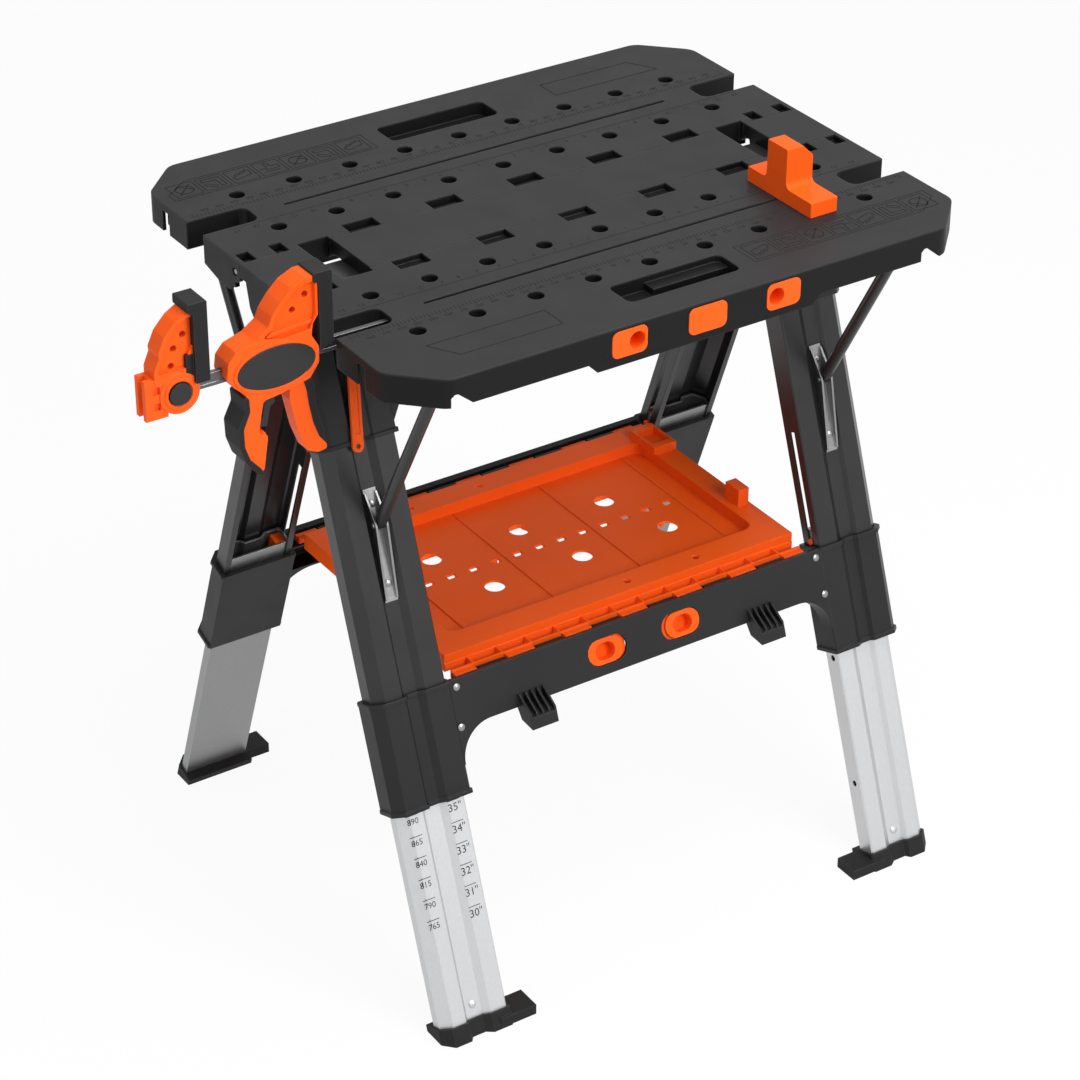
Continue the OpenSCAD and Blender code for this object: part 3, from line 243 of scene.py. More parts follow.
# %% Powder coat and rubber
def powder_coat(name, colour):
    f = Finish(name)
    edge, rounded = f.edge(0.0010)
    base = f.blend(f.noise(14.0), darker(colour, 0.15), lighter(colour, 0.01))
    # Painted highlight and wear: the coat's edges are drawn paler in patches.
    worn_and_highlit = f.blend(f.math("MULTIPLY", edge, f.noise(45.0)), base, lighter(colour, 0.08))
    f.wire(worn_and_highlit, f.shader.inputs["Base Color"])
    f.wire(f.ramp(f.noise(30.0), 0.28, 0.38), f.shader.inputs["Roughness"])
    f.wire(f.bump(f.noise(420.0, 2.0), 0.0001, 0.35, rounded), f.shader.inputs["Normal"])
    f.shader.inputs["Specular IOR Level"].default_value = 0.4
    return f.material


def soft_rubber(name, colour):
    f = Finish(name)
    edge, rounded = f.edge(0.0014)
    # Dust and painted highlight: the rubber's edges are drawn paler in patches.
    dust_and_highlight = f.math("MULTIPLY", edge, f.noise(80.0))
    f.wire(f.blend(dust_and_highlight, colour, lighter(colour, 0.10)), f.shader.inputs["Base Color"])
    f.wire(f.ramp(f.noise(40.0), 0.62, 0.78), f.shader.inputs["Roughness"])
    f.wire(f.bump(f.noise(900.0), 0.00015, 0.5, rounded), f.shader.inputs["Normal"])
    f.shader.inputs["Specular IOR Level"].default_value = 0.25
    return f.material


COAT_BLACK = (0.009, 0.009, 0.010)
RUBBER_BLACK = (0.010, 0.010, 0.010)
leg_coat = powder_coat("satin_black_coat", COAT_BLACK)
pad_rubber = soft_rubber("black_rubber", RUBBER_BLACK)

# %% [markdown]
# The sliding foot tubes are drawn aluminium, pale and streaked along their length, and the pins,
# rods, rivets and brackets are zinc-plated steel. Streaks come from noise squeezed across the leg
# and stretched along it, so the pattern is turned by the leg's lean first.

# %% Metals
def streaked_metal(name, colour, roughness, streak_scale, turn=0.0, metallic=1.0):
    f = Finish(name)
    edge, rounded = f.edge(0.0008)
    lines = f.noise(1.0, 4.0, f.stretched(streak_scale, (turn, 0, 0)))
    base = f.blend(lines, darker(colour, 0.14), lighter(colour, 0.10))
    # Painted highlight: every metal edge is drawn a quarter of the way to white.
    f.wire(f.blend(edge, base, lighter(colour, 0.25)), f.shader.inputs["Base Color"])
    f.wire(f.ramp(lines, roughness - 0.08, roughness + 0.10), f.shader.inputs["Roughness"])
    f.wire(f.bump(lines, 0.00006, 0.35, rounded), f.shader.inputs["Normal"])
    f.shader.inputs["Metallic"].default_value = metallic
    return f.material


ALLOY = (0.60, 0.61, 0.62)
ZINC = (0.28, 0.28, 0.28)
BAR_GREY = (0.10, 0.10, 0.105)
ALONG_LEG = (900, 900, 6)    # streak scales: many across, few along
ALONG_BAR = (8, 900, 900)
EVEN = (260, 260, 260)
front_alloy = streaked_metal("drawn_aluminium_front", ALLOY, 0.40, ALONG_LEG, TILT, 0.85)
# Painted shade: the rear foot tubes take the same aluminium drawn 55 % darker.
shaded_rear_alloy = streaked_metal("drawn_aluminium_rear_shaded", darker(ALLOY, 0.55), 0.40, ALONG_LEG,
                            -TILT, 0.85)
zinc = streaked_metal("zinc_plated_steel", ZINC, 0.33, EVEN)
bar_steel = streaked_metal("black_bar_steel", BAR_GREY, 0.36, ALONG_BAR)
print("metals:", 4)

# %% [markdown]
# Each CAD node keeps its shape and takes one of these finishes. Names that start alike share one,
# so a table of name beginnings is shorter than a list of nodes; the longest match wins.

# %% Finish for every node
NODE_FINISH = {
    "centre_panel": worktop_plastic, "end_block": worktop_plastic,
    "front_panel": worktop_plastic, "rear_panel": worktop_plastic,
    "front_leg_heads": frame_plastic, "rear_leg_heads": frame_plastic,
    "front_crossbeam": frame_plastic, "rear_crossbeam": frame_plastic,
    "spine": leg_coat, "upper_leg": leg_coat, "strut": leg_coat,
    "front_strut": zinc, "rear_strut": zinc, "hinge_rods": zinc, "leg_pivot": zinc,
    "front_leg_fasteners": zinc, "rear_leg_fasteners": zinc,
    "tray_rest": zinc, "tray_hinge": zinc,
    "foot_tube_front": front_alloy, "foot_tube_rear": shaded_rear_alloy,
    "foot_pad": pad_rubber, "foot_lock": orange_plastic,
    "front_edge": orange_plastic, "rear_edge": orange_plastic,
    "front_push": orange_plastic, "rear_push": orange_plastic,
    "tray": orange_plastic, "tray_latch": orange_plastic,
    "carry_link": orange_plastic, "bench_dog": orange_plastic,
    "clamp_bar": bar_steel, "clamp_end_jaw": orange_plastic,
    "clamp_end_pad": pad_rubber, "clamp_end_button": trim_plastic,
    "clamp_body": orange_plastic, "clamp_cover": trim_plastic,
    "clamp_grip": pad_rubber, "clamp_jaw_pad": pad_rubber,
    "clamp_trigger": orange_plastic, "clamp_release": trim_plastic,
}
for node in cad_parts:
    start = max((key for key in NODE_FINISH if node.startswith(key)), key=len)
    mesh = bpy.data.objects[node].data
    mesh.materials.clear()
    mesh.materials.append(NODE_FINISH[start])
print("finished nodes:", len(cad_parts))

# %% [markdown]
# The top carries two engraved scales beside each clamp groove, in inches on the side of the middle
# and in millimetres on the outer side, both counted from the centre to each end. Marks this fine
# are drawn as thin near-black inlays, a tenth of a millimetre proud, which stay closed solids;
# their colour is painted shade, standing for the shade inside the engraved grooves. Digits come
# once each from Blender's own font and are then copied.

# %% Inlay helpers
INK = 0.12    # how far a mark stands proud of its face, and how far it sinks in
BAR_FACES = ((3, 2, 1, 0), (4, 5, 6, 7), (0, 1, 5, 4), (1, 2, 6, 5), (2, 3, 7, 6), (3, 0, 4, 7))


def inlay_finish(name, colour, roughness):
    f = Finish(name)
    shade = f.blend(f.noise(300.0), darker(colour, 0.2), lighter(colour, 0.03))
    f.wire(shade, f.shader.inputs["Base Color"])
    f.wire(f.ramp(f.noise(90.0), roughness - 0.06, roughness + 0.06), f.shader.inputs["Roughness"])
    f.shader.inputs["Specular IOR Level"].default_value = 0.12
    return f.material


SHADOW_BLACK = (0.004, 0.004, 0.004)
PRINT_BLACK = (0.012, 0.012, 0.013)
# Painted shade: the engraved marks are near-black for the shade in their grooves; the height scale
# is black print.
groove_shade = inlay_finish("engraved_groove_shade", SHADOW_BLACK, 0.8)
black_print = inlay_finish("black_print", PRINT_BLACK, 0.5)
digit_shapes = {}


def digit_shape(text):
    """Vertices and faces of one character, one unit tall, centred, facing +Z."""
    if text not in digit_shapes:
        curve = bpy.data.curves.new("digit", "FONT")
        curve.body = text
        curve.align_x = "CENTER"
        curve.align_y = "CENTER"
        curve.extrude = 0.5
        curve.resolution_u = 3
        made = baked(curve)
        digit_shapes[text] = ([v.co.copy() for v in made.vertices],
                              [tuple(p.vertices) for p in made.polygons])
        bpy.data.meshes.remove(made)
    return digit_shapes[text]


class Inlay:
    """Collects thin marks on one face and makes them a single piece."""

    def __init__(self, matrix):
        self.matrix = matrix
        self.points = []
        self.faces = []

    def add(self, points, faces):
        first = len(self.points)
        self.points += [self.matrix @ Vector(p) for p in points]
        self.faces += [tuple(first + i for i in face) for face in faces]

    def bar(self, a, b, width):
        """A straight mark from a to b in the face's own millimetres."""
        a, b = Vector(a), Vector(b)
        side = Vector((-(b - a).y, (b - a).x)).normalized() * width / 2
        low, high = -INK, INK
        corners = [a + side, a - side, b - side, b + side]
        self.add([(c.x, c.y, z) for z in (low, high) for c in corners], BAR_FACES)

    def path(self, points, width, closed=False):
        ends = points[1:] + (points[:1] if closed else [])
        for a, b in zip(points, ends):
            self.bar(a, b, width)

    def word(self, text, x, y, size, turn=0.0):
        points, faces = digit_shape(text)
        rot = Matrix.Rotation(turn, 2)
        placed = []
        for p in points:
            flat = rot @ Vector((p.x * size, p.y * size))
            placed.append((x + flat.x, y + flat.y, p.z * 2 * INK))
        self.add(placed, faces)

    def piece(self, name, body, finish, slot_name):
        return add_piece(name, self.points, self.faces, body, finish)


def on_top(turned):
    """Top surface in bench millimetres; the rear panel is the front one turned half round."""
    place = Matrix.Translation(bench(0, 0, TOP_Z)) @ Matrix.Scale(MM, 4)
    return place @ Matrix.Rotation(math.pi, 4, "Z") if turned else place


# %% [markdown]
# Both scales are rows of short bars with a number at each inch or each 20 mm. A number that would
# land on one of the round holes for the bench dogs is made smaller and moved, or left out.

# %% Engraved scales beside each clamp groove
DOG_PITCH = 77.3            # round holes, nine in each of two rows
DOG_ROWS = (103.2, 203.5)
SIXTEENTHS = 228            # inch marks each way from the middle
INCHES = 14
FIVES = 76                  # 5 mm marks each way
TWENTIES = 18
INCH_LINE_Y = NOTCH_Y + 23.5
MM_LINE_Y = NOTCH_Y - 24
NUMBER_Y = NOTCH_Y - 38


def near_dog(x, y, reach):
    holes = [((i - 4) * DOG_PITCH, -row) for i in range(9) for row in DOG_ROWS]
    return any(math.hypot(x - u, y - v) < reach for u, v in holes)


def engrave_scales(face):
    for k in range(-SIXTEENTHS, SIXTEENTHS + 1):
        x = k * INCH / 16
        length = 4.5 if k % 16 == 0 else 3.0 if k % 8 == 0 else 1.8
        face.bar((x, INCH_LINE_Y), (x, INCH_LINE_Y + length), 0.5)
    for n in range(1, INCHES + 1):
        for side in (-1, 1):
            if not near_dog(side * n * INCH, NOTCH_Y + 34, 14.5):
                face.word(str(n), side * n * INCH, NOTCH_Y + 33, 9.0)
            else:
                face.word(str(n), side * n * INCH + 3.5, NOTCH_Y + 32, 6.5)
    for k in range(-FIVES, FIVES + 1):
        x = k * 5
        length = 9 if k % 4 == 0 else 6
        face.bar((x, MM_LINE_Y), (x, MM_LINE_Y - length), 1.1)
    for k in range(-TWENTIES, TWENTIES + 1):
        x = k * 20
        if not near_dog(x, NUMBER_Y, 14):
            face.word(str(abs(x)), x, NUMBER_Y, 7.5)


for body, turned in PANELS:
    scale = Inlay(on_top(turned))
    engrave_scales(scale)
    scale.piece(body + "_engraved_scale", body, groove_shade, "black_plastic")
print("engraved scales: 2")

# %% [markdown]
# Beside the handle recess each panel has a strip of framed pictures of uses, and on the other side
# a sunken plate. The plate stays plain inside its border, and the pictures are simple signs of a
# saw, a square, a disc and a drill, drawn with the same thin marks.

# %% Picture strip and plate
# Each sign is a list of strokes round its own middle: points, width, and whether the line closes.
DISC = [(11 * math.cos(k * math.tau / 18), 11 * math.sin(k * math.tau / 18)) for k in range(18)]
TEETH = [(4 * k - 11, 1.7 * k - 13 + (3 if k % 2 else 0)) for k in range(6)]
SIGNS = (
    [([(-13, -9), (13, 2), (10, 9), (-12, 3)], 1.7, True), (TEETH, 1.3, False)],
    [([(-12, 12), (-12, -12), (12, -12), (12, -6), (-6, -6), (-6, 12)], 1.7, True),
     ([(-2, 10), (10, -1), (13, 3), (1, 13)], 1.4, True)],
    [(DISC, 1.7, True), ([(-12, -12), (12, 12)], 2.2, False), ([(-12, 5), (5, -12)], 1.4, False)],
    [([(-12, -4), (-2, -4), (-2, -13), (3, -13), (3, -4), (6, 4), (-12, 4)], 1.7, True),
     ([(6, 0), (14, 0)], 2.2, False), ([(-10, 9), (12, 9)], 1.5, False)],
)
PICTURES = 7
STRIP = (101.0, 378.0, -270.0, -226.0)     # left, right, low, high
PLATE = (-320.0, -166.0, -275.0, -238.0)


def engrave_pictures(face):
    left, right, low, high = STRIP
    cell = (right - left - 8) / PICTURES
    face.path([(left, low), (right - 34, low), (right, low + 26), (right, high), (left, high)],
              1.3, True)
    for i in range(PICTURES):
        x, y = left + 4 + (i + 0.5) * cell, (low + high) / 2
        w, h = cell / 2 - 2.4, 17.5
        face.path([(x - w, y - h), (x + w, y - h), (x + w, y + h), (x - w, y + h)], 1.5, True)
        for points, width, closed in SIGNS[i % len(SIGNS)]:
            face.path([(x + u, y + v) for u, v in points], width, closed)


def engrave_plate(face):
    left, right, low, high = PLATE
    face.path([(left, high), (left + 22, low), (right, low), (right, high)], 1.8, True)


for body, turned in PANELS:
    signs = Inlay(on_top(turned))
    engrave_pictures(signs)
    engrave_plate(signs)
    signs.piece(body + "_engraved_signs", body, groove_shade, "black_plastic")

# %% [markdown]
# The front left foot tube shows the working height: the mark at the sleeve's lower edge is the
# height in use. Inches stand on the inner land and millimetres on the outer one, 25 mm of height
# apart, which is a little more along the leaning leg.

# %% Height scale on the front left leg
def on_left_leg(depth):
    """Face of the front left leg: x across (bench), y up along the leg, z outwards."""
    across = Vector((1, 0, 0))
    up = Vector((0, math.sin(TILT), math.cos(TILT)))
    out = across.cross(up)
    start = Vector((BENCH_X, -LEG_FACE, 0)) - out * depth
    turn = Matrix((across, up, out)).transposed().to_4x4()
    return Matrix.Scale(MM, 4) @ Matrix.Translation(start) @ turn


LAND_DEPTH = 7.58     # from the leg's outer face in to the print on the tube
SLEEVE_W = 301.4      # the sleeve's lower edge, along the leg
FIRST_W = SLEEVE_W - 4
MM_STEP = 25
height_scale = Inlay(on_left_leg(LAND_DEPTH))
for i in range(6):
    w = FIRST_W - i * MM_STEP / math.cos(TILT)
    height_scale.bar((-361, w), (-344, w), 0.9)
    height_scale.word(str(int(TOP_Z) - MM_STEP * i), -352.5, w - 8, 10.5)
    w = FIRST_W - i * INCH / math.cos(TILT)
    height_scale.bar((-303, w), (-287, w), 0.9)
    height_scale.word(str(35 - i) + '"', -294.5, w - 9, 14.0)
height_scale.piece("height_scale", "foot_front_left", black_print, "black_plastic")

# %% [markdown]
# The bar clamp and the bench dog are mouldings whose look comes from their outlines: a recessed arm
# with a rib, an oval cover in a raised rim, a grip that hugs the handle. Their solids are plainer,
# so finer pieces stand for them. Each is built from flat plates. The clamp's outlines are written
# as shares of the jaw height, measured from the middle of its bar.

# %% Plates from outlines
JAW = 99.0             # height of the jaw, which the shares are of
LONGEST_SHARE = 0.48   # of an edge, that one rounded corner may take
SHARP = 0.05           # below this, in mm or as a slope, a corner counts as sharp


def softened(points, radii, steps=5):
    """The outline with each corner rounded to its radius, as far as its two edges allow."""
    made = []
    for i, radius in enumerate(radii):
        here = Vector(points[i])
        back = Vector(points[i - 1]) - here
        ahead = Vector(points[(i + 1) % len(points)]) - here
        half = back.angle(ahead) / 2
        longest = min(back.length, ahead.length) * LONGEST_SHARE
        reach = min(radius / max(math.tan(half), SHARP), longest)
        if reach < SHARP:
            made.append((here.x, here.y))
            continue
        start = here + back.normalized() * reach
        end = here + ahead.normalized() * reach
        for k in range(steps + 1):
            t = k / steps
            spot = start * (1 - t) ** 2 + here * 2 * t * (1 - t) + end * t ** 2
            made.append((spot.x, spot.y))
    return made


def shares(table, radius=0.06):
    return softened([(u * JAW, v * JAW) for u, v in table], [radius * JAW] * len(table))


def oval(radius_u, radius_v, at=(0, 0), count=40):
    turns = [k * math.tau / count for k in range(count)]
    return [(at[0] + radius_u * math.cos(a), at[1] + radius_v * math.sin(a)) for a in turns]


def disc(radius, at=(0, 0), count=40):
    return oval(radius, radius, at, count)


def pin_holes(places):
    return [disc(4, (u * JAW, v * JAW), 24) for u, v in places]


def plate_mesh(loops, low, high):
    """Vertices and faces of a closed plate: the first loop is its outline, the others are holes."""
    curve = bpy.data.curves.new("outline", "CURVE")
    curve.dimensions = "2D"
    curve.fill_mode = "BOTH"
    curve.extrude = (high - low) / 2
    for loop in loops:
        spline = curve.splines.new("POLY")
        spline.points.add(len(loop) - 1)
        for point, (u, v) in zip(spline.points, loop):
            point.co = (u, v, 0, 1)
        spline.use_cyclic_u = True
    made = baked(curve)
    shape = bmesh.new()
    shape.from_mesh(made)
    bmesh.ops.remove_doubles(shape, verts=shape.verts, dist=0.001)
    shape.verts.index_update()
    points = [(v.co.x, v.co.y, v.co.z + (low + high) / 2) for v in shape.verts]
    faces = [tuple(v.index for v in f.verts) for f in shape.faces]
    shape.free()
    bpy.data.meshes.remove(made)
    return points, faces


class Moulding:
    """Plates put together as one piece. Across, up and depth are bench axes around a centre."""

    def __init__(self, centre, along_x=False):
        self.centre, self.along_x = centre, along_x
        self.points, self.faces = [], []

    def plate(self, loops, low, high):
        points, faces = plate_mesh(loops, low, high)
        first = len(self.points)
        cx, cy, cz = self.centre
        for u, v, w in points:
            across, back = (w, u) if self.along_x else (u, -w)
            self.points.append(bench(cx + across, cy + back, cz + v))
        self.faces += [tuple(first + i for i in face) for face in faces]
        return self

    def both(self, loops, low, high):
        return self.plate(loops, low, high).plate(loops, -high, -low)

    def piece(self, name, body, finish, slot_name, stands_for=None):
        return add_piece(name, self.points, self.faces, body, finish, stands_for)


def box(u0, u1, v0, v1):
    return [(u0, v0), (u1, v0), (u1, v1), (u0, v1)]


# %% [markdown]
# The clamp's body is made of three depths: a web round the bar, a wider layer with the slot for the
# levers, and two shells with a pocket in the arm. An oval rim frames the cover. The grip is a strip
# round the back of the handle, and the jaw carries a hooded rubber pad.

# %% Clamp body, cover and grip
SLIDER = (-466.0, NOTCH_Y, BAR_Z)
WEB, LAYER, SHELL, RIM = 6, 10, 15, 16.2    # half thicknesses, from the middle out
COVER, COVER_STEP = 16.3, 17.0
COVER_U, COVER_V = 48, 25
PAD_HALF = 17
ARM = [(0.54, 0.1), (0.455, 0.25), (0.475, 0.394), (0.545, 0.485), (0.55, 0.97), (0.404, 0.97),
       (0.222, 0.889), (0.081, 0.758), (-0.03, 0.616), (-0.081, 0.495), (-0.253, 0.374),
       (-0.485, 0.303), (-0.586, 0.192), (-0.606, 0.03), (-0.535, -0.111), (-0.384, -0.253),
       (-0.374, -0.444), (-0.475, -0.646), (-0.465, -0.879), (-0.404, -1.071),
       (-0.273, -1.232), (-0.202, -1.263), (-0.131, -0.808)]
INNER_HANDLE = [(-0.253, -0.798), (-0.2, -0.5), (-0.172, -0.384)]
full = shares([(0.06, -0.354), (0.42, -0.27), (0.54, -0.1)] + ARM + INNER_HANDLE)
slotted = shares([(-0.1, -0.111), (0.54, -0.111)] + ARM + INNER_HANDLE + [(-0.1, -0.36)], 0.03)
middle = shares([(-0.1, -0.111), (0.54, -0.111)] + ARM
                + [(-0.32, -0.79), (-0.3, -0.5), (-0.3, -0.25), (-0.1, -0.22)], 0.02)
pocket = shares([(0.44, 0.33), (0.46, 0.394), (0.515, 0.5), (0.515, 0.9), (0.404, 0.9),
                 (0.24, 0.83), (0.12, 0.72), (0.02, 0.59), (-0.02, 0.47), (-0.16, 0.37),
                 (0.1, 0.31)], 0.03)
rib = shares([(-0.12, 0.366), (0.45, 0.405), (0.47, 0.45), (-0.05, 0.415)], 0.01)
arm_holes = pin_holes([(0.25, 0.6), (0.41, 0.75)])
clamp = Moulding(SLIDER)
clamp.plate([middle] + arm_holes, -WEB, WEB)
clamp.both([slotted] + arm_holes, WEB, LAYER)
clamp.both([full, pocket], LAYER, SHELL)
clamp.both([rib], LAYER, SHELL - 0.5)
clamp.both([oval(52.5, 29.5), oval(48.3, 25.3)], SHELL, RIM)
clamp.piece("clamp_body_moulding", "clamp_slider", orange_plastic, "orange_plastic", "clamp_body")

whole_oval = oval(COVER_U, COVER_V, count=64)
upper_oval = [(u, max(v, -15.5)) for u, v in whole_oval]
cover = Moulding(SLIDER)
cover.both([whole_oval], SHELL, COVER).both([upper_oval], COVER, COVER_STEP)
cover.piece("clamp_oval_cover", "clamp_slider", trim_plastic, "black_plastic", "clamp_cover")

grip = shares([(-0.36, -0.28), (-0.35, -0.46), (-0.44, -0.66), (-0.435, -0.88), (-0.375, -1.06),
               (-0.25, -1.205), (-0.2, -1.3), (-0.29, -1.27), (-0.43, -1.09), (-0.5, -0.88),
               (-0.51, -0.64), (-0.41, -0.44), (-0.42, -0.28)], 0.08)
Moulding(SLIDER).plate([grip], -16.5, 16.5).piece(
    "clamp_handle_grip", "clamp_slider", pad_rubber, "rubber", "clamp_grip")
hood = [(54.5, 8.3), (71.5, 8.3), (71.5, 99), (48.5, 99), (48.5, 88), (54.5, 87)]
Moulding(SLIDER).plate([softened(hood, [1.5] * 6)], -PAD_HALF, PAD_HALF).piece(
    "clamp_hooded_pad", "clamp_slider", pad_rubber, "rubber", "clamp_jaw_pad")

# %% [markdown]
# The trigger hangs from a hub just under the bar and has a rubber strip along its outer edge. The
# small release lever lies between it and the handle. Both ride on bodies of their own, so that
# they move when squeezed.

# %% Trigger and release lever
TRIGGER, STRIP_HALF, LEVER = 9.5, 9.9, 5.2     # half thicknesses
trigger = shares([(0.19, -0.3), (0.36, -0.3), (0.4, -0.45), (0.42, -0.626), (0.47, -0.879),
                  (0.54, -1.07), (0.63, -1.19), (0.635, -1.25), (0.525, -1.273),
                  (0.374, -1.202), (0.273, -0.929), (0.18, -0.5)])
strip = shares([(0.36, -0.3), (0.4, -0.45), (0.42, -0.626), (0.47, -0.879), (0.54, -1.07),
                (0.6, -1.15), (0.6, -1.0), (0.54, -0.8), (0.505, -0.62), (0.5, -0.4),
                (0.46, -0.3)], 0.04)
hub = disc(8, (28, -22), 24)
Moulding(SLIDER).plate([trigger], -TRIGGER, TRIGGER).plate([hub], -TRIGGER, TRIGGER).piece(
    "clamp_trigger_moulding", "clamp_trigger", orange_plastic, "orange_plastic", "clamp_trigger")
Moulding(SLIDER).plate([strip], -STRIP_HALF, STRIP_HALF).piece(
    "clamp_trigger_strip", "clamp_trigger", pad_rubber, "rubber")
lever = shares([(-0.085, -0.32), (0.0, -0.32), (0.02, -0.495), (-0.05, -0.545), (-0.09, -0.77),
                (-0.2, -0.755), (-0.212, -0.717), (-0.14, -0.64), (-0.12, -0.515)], 0.02)
lever_eye = disc(5, (-4, -30), 20)
Moulding(SLIDER).plate([lever], -LEVER, LEVER).plate([lever_eye], -LEVER, LEVER).piece(
    "clamp_release_lever", "clamp_release", trim_plastic, "black_plastic", "clamp_release")

# %% [markdown]
# The end jaw closes the bar. Its round boss leaves a bore open for the button, which has to sink
# into it, so no plate of the arm or of the side block crosses that bore.

# %% End jaw and its pad
JAW_END = (-582.0, NOTCH_Y, BAR_Z)
INNER, ARM_HALF, ARM_RIM, BOSS = 5, 8, 12, 12.6    # half thicknesses
arm = shares([(0.2, 0.15), (0.15, 0.3), (0.18, 0.434), (0.232, 0.485), (0.232, 0.945),
              (0.12, 0.945), (-0.01, 0.869), (-0.152, 0.717), (-0.232, 0.545),
              (-0.225, 0.485), (-0.293, 0.33), (-0.293, 0.15)], 0.05)
arm_pocket = shares([(0.1, 0.28), (0.13, 0.46), (0.19, 0.54), (0.19, 0.88), (0.12, 0.88),
                     (0.02, 0.82), (-0.1, 0.69), (-0.18, 0.53), (-0.18, 0.47), (-0.24, 0.34),
                     (-0.24, 0.28)], 0.02)
end_holes = pin_holes([(0.09, 0.677), (-0.03, 0.535), (-0.07, 0.333)])
side_core = box(-33, -14.5, -24, 24)
side = box(-41, -14.5, -24, 24)
sockets = [box(-31, -23, 5, 14), box(-31, -23, -14, -5)]
end_jaw = Moulding(JAW_END)
end_jaw.plate([arm] + end_holes, -ARM_HALF, ARM_HALF).both([arm, arm_pocket], ARM_HALF, ARM_RIM)
end_jaw.plate([side_core], -INNER, INNER).both([side], INNER, ARM_HALF)
end_jaw.both([side] + sockets, ARM_HALF, 11.4)
end_jaw.plate([disc(24)], -BOSS, -INNER).plate([disc(24), disc(13.9)], 4, BOSS)
end_jaw.plate([disc(18.5), disc(15)], BOSS, BOSS + 1)
end_jaw.piece("clamp_end_moulding", "clamp_rail", orange_plastic, "orange_plastic",
              "clamp_end_jaw")

end_hood = [(18, 8.3), (35, 8.3), (35, 104), (12, 104), (12, 93), (18, 92)]
end_pad = Moulding(JAW_END)
end_pad.plate([softened(end_hood, [1.5] * 6)], -PAD_HALF, PAD_HALF)
end_pad.plate([box(9, 19, 17, 43)], -12.5, 12.5)
end_pad.piece("clamp_end_hooded_pad", "clamp_rail", pad_rubber, "rubber", "clamp_end_pad")

# %% [markdown]
# The bench dog is a long foot with an upright stop. Its side view is filleted where the stop meets
# the foot, and the stop's top is cut slanting towards the right, so it is made of a full plate, a
# lower plate and a wedge.

# %% Bench dog
DOG_LEFT, DOG_STEP, DOG_RIGHT = 220.5, 243.4, 258.9     # in x
STOP_BACK, STOP_FRONT = -128.5, -166                    # in y
STOP_H, STEP_H = 68.5, 53.0                             # above the worktop
FOOT_H = 19
dog_side = [(-215, 0), (-215, FOOT_H), (STOP_FRONT, FOOT_H), (STOP_FRONT, STOP_H),
            (STOP_BACK, STOP_H), (STOP_BACK, FOOT_H), (-91.7, FOOT_H), (-91.7, 0)]
cut_side = [(u, min(v, STEP_H)) for u, v in dog_side]
corner_radii = [0.3, 1.5, 9, 1.5, 1.5, 9, 1.5, 0.3]
dog = Moulding((0, 0, TOP_Z), along_x=True)
dog.plate([softened(dog_side, corner_radii)], DOG_LEFT, DOG_STEP)
dog.plate([softened(cut_side, corner_radii)], DOG_STEP, DOG_RIGHT)
first = len(dog.points)
wedge = [(x, y, z) for y in (STOP_FRONT, STOP_BACK)
         for x, z in ((DOG_STEP, STEP_H), (DOG_RIGHT, STEP_H), (DOG_STEP, STOP_H))]
dog.points += [bench(x, y, TOP_Z + z) for x, y, z in wedge]
wedge_faces = ((0, 1, 2), (5, 4, 3), (0, 3, 4, 1), (1, 4, 5, 2), (2, 5, 3, 0))
dog.faces += [tuple(first + i for i in f) for f in wedge_faces]
dog.piece("bench_dog_moulding", "bench_dog", orange_plastic, "orange_plastic", "bench_dog")
print("mouldings:", 10)

# %% [markdown]
# The photograph is a packshot: white ground, large soft lights and a long lens from the front left,
# a little above. The camera's place was found by fitting the rows of round holes, the corners and
# the feet, and is repeated here as numbers.

# %% Floor, light and camera
FLOOR_HALF = 6.0       # half the floor's side, in metres
FLOOR_WHITE = 0.93     # share of the floor's own light where rays show it as background
WORLD_LEVEL = 0.42     # the world's light on the bench; the background itself is 1
AT_BENCH = (0.1, 0, 0.6)


def background_rays(tree):
    """1 for rays that show the background: seen directly, mirrored or through something clear."""
    path = tree.nodes.new("ShaderNodeLightPath")
    total = path.outputs["Is Camera Ray"]
    for other in ("Is Glossy Ray", "Is Transmission Ray"):
        either = tree.nodes.new("ShaderNodeMath")
        either.operation = "MAXIMUM"
        tree.links.new(total, either.inputs[0])
        tree.links.new(path.outputs[other], either.inputs[1])
        total = either.outputs[0]
    return total


def plain_stage():
    floor_mesh = bpy.data.meshes.new("floor")
    r = FLOOR_HALF
    floor_mesh.from_pydata([(-r, -r, 0), (r, -r, 0), (r, r, 0), (-r, r, 0)], [], [(0, 1, 2, 3)])
    floor = bpy.data.objects.new("floor", floor_mesh)
    bpy.context.scene.collection.objects.link(floor)
    f = Finish("pale_floor")
    pale = f.blend(f.noise(3.0), (0.88, 0.88, 0.88), (0.90, 0.90, 0.90))
    f.wire(pale, f.shader.inputs["Base Color"])
    f.wire(f.ramp(f.noise(7.0), 0.6, 0.7), f.shader.inputs["Roughness"])
    f.shader.inputs["Specular IOR Level"].default_value = 0.1
    white = f.node("ShaderNodeEmission")
    white.inputs["Strength"].default_value = 1.0
    mixed = f.node("ShaderNodeMixShader")
    f.wire(f.math("MULTIPLY", background_rays(f.tree), FLOOR_WHITE), mixed.inputs[0])
    f.wire(f.shader.outputs[0], mixed.inputs[1])
    f.wire(white.outputs[0], mixed.inputs[2])
    f.wire(mixed.outputs[0], f.tree.nodes["Material Output"].inputs["Surface"])
    floor_mesh.materials.append(f.material)


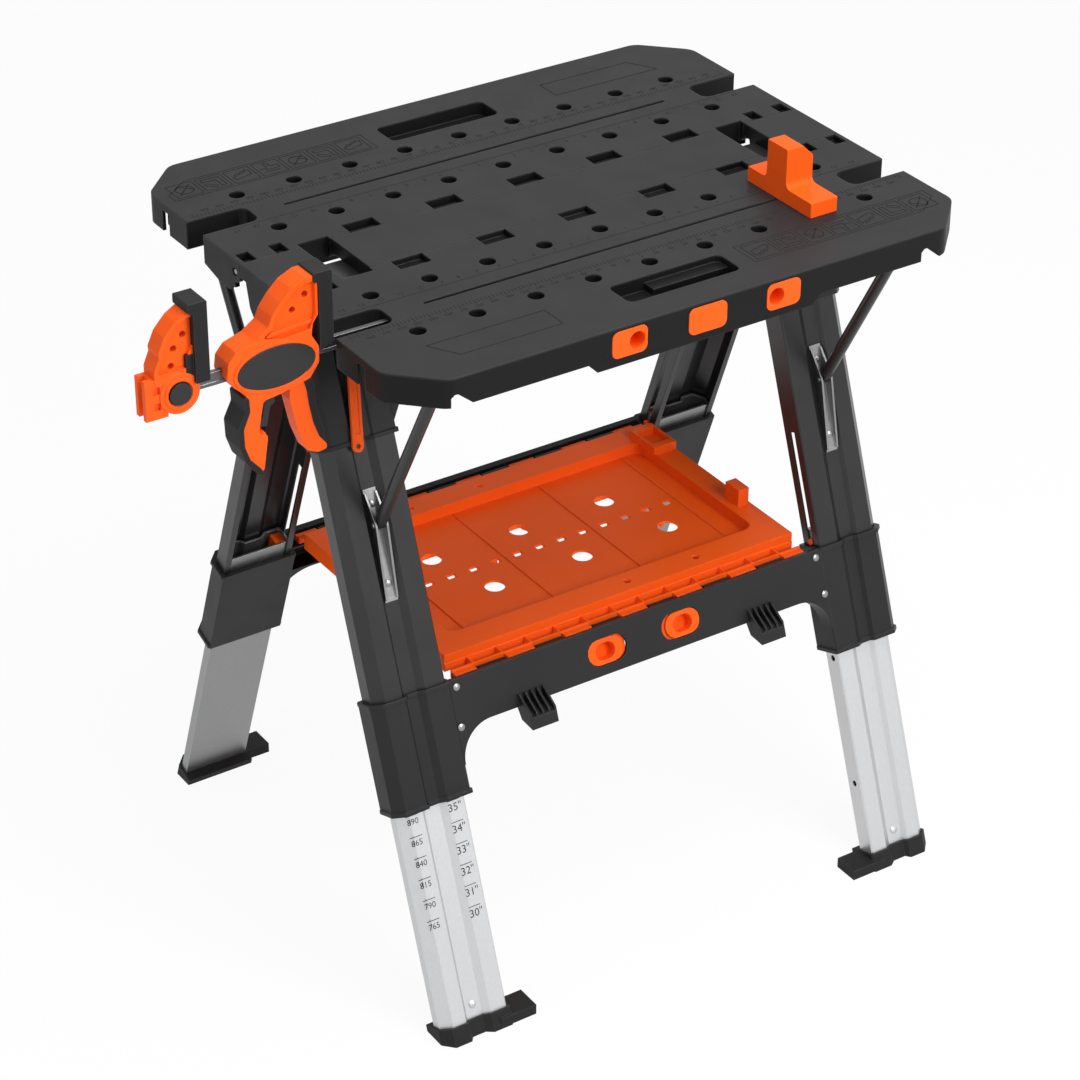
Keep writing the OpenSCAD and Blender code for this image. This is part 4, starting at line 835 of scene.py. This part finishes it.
def white_world(level):
    world = bpy.data.worlds.new("white_studio")
    bpy.context.scene.world = world
    world.use_nodes = True
    tree = world.node_tree
    back = tree.nodes["Background"]
    back.inputs["Color"].default_value = (1, 1, 1, 1)
    level_node = tree.nodes.new("ShaderNodeMapRange")
    level_node.inputs["To Min"].default_value = level
    level_node.inputs["To Max"].default_value = 1.0
    tree.links.new(background_rays(tree), level_node.inputs["Value"])
    tree.links.new(level_node.outputs["Result"], back.inputs["Strength"])


def soft_light(name, place, aim, size, power):
    data = bpy.data.lights.new(name, "AREA")
    data.shape = "SQUARE"
    data.size = size
    data.energy = power
    light = bpy.data.objects.new(name, data)
    light.location = place
    light.rotation_euler = (Vector(aim) - Vector(place)).to_track_quat("-Z", "Y").to_euler()
    bpy.context.scene.collection.objects.link(light)


plain_stage()
white_world(WORLD_LEVEL)
soft_light("key_overhead", (0.3, -0.6, 3.2), AT_BENCH, 2.0, 58)
soft_light("side_fill", (-3.0, -1.0, 1.5), (0, 0, 0.6), 2.0, 14)
soft_light("front_key", (0.7, -2.7, 2.2), (0.1, 0, 0.42), 1.4, 62)

AZIMUTH, ELEVATION, ROLL = (math.radians(a) for a in (-33.548, 31.505, 0.315))
AIM = Vector((-52.706, -233.7, 589.95)) * MM      # what the middle of the picture shows
LENS = 111.83
SENSOR = 36.0
DISTANCE = 3.869231
back = Vector((math.sin(AZIMUTH) * math.cos(ELEVATION),
               -math.cos(AZIMUTH) * math.cos(ELEVATION), math.sin(ELEVATION)))
right = Vector((math.cos(AZIMUTH), math.sin(AZIMUTH), 0))
up = back.cross(right)
rolled_right = right * math.cos(ROLL) + up * math.sin(ROLL)
rolled_up = up * math.cos(ROLL) - right * math.sin(ROLL)
camera_data = bpy.data.cameras.new("packshot_camera")
camera_data.sensor_width = SENSOR
camera_data.lens = LENS
camera_data.clip_start = 0.1
camera_data.clip_end = 50.0
camera = bpy.data.objects.new("packshot_camera", camera_data)
facing = Matrix((rolled_right, rolled_up, back)).transposed().to_4x4()
camera.matrix_world = Matrix.Translation(AIM + back * DISTANCE) @ facing
bpy.context.scene.collection.objects.link(camera)
bpy.context.scene.camera = camera
bpy.context.scene.view_settings.view_transform = "Standard"
print("camera at", [round(v, 3) for v in camera.location])
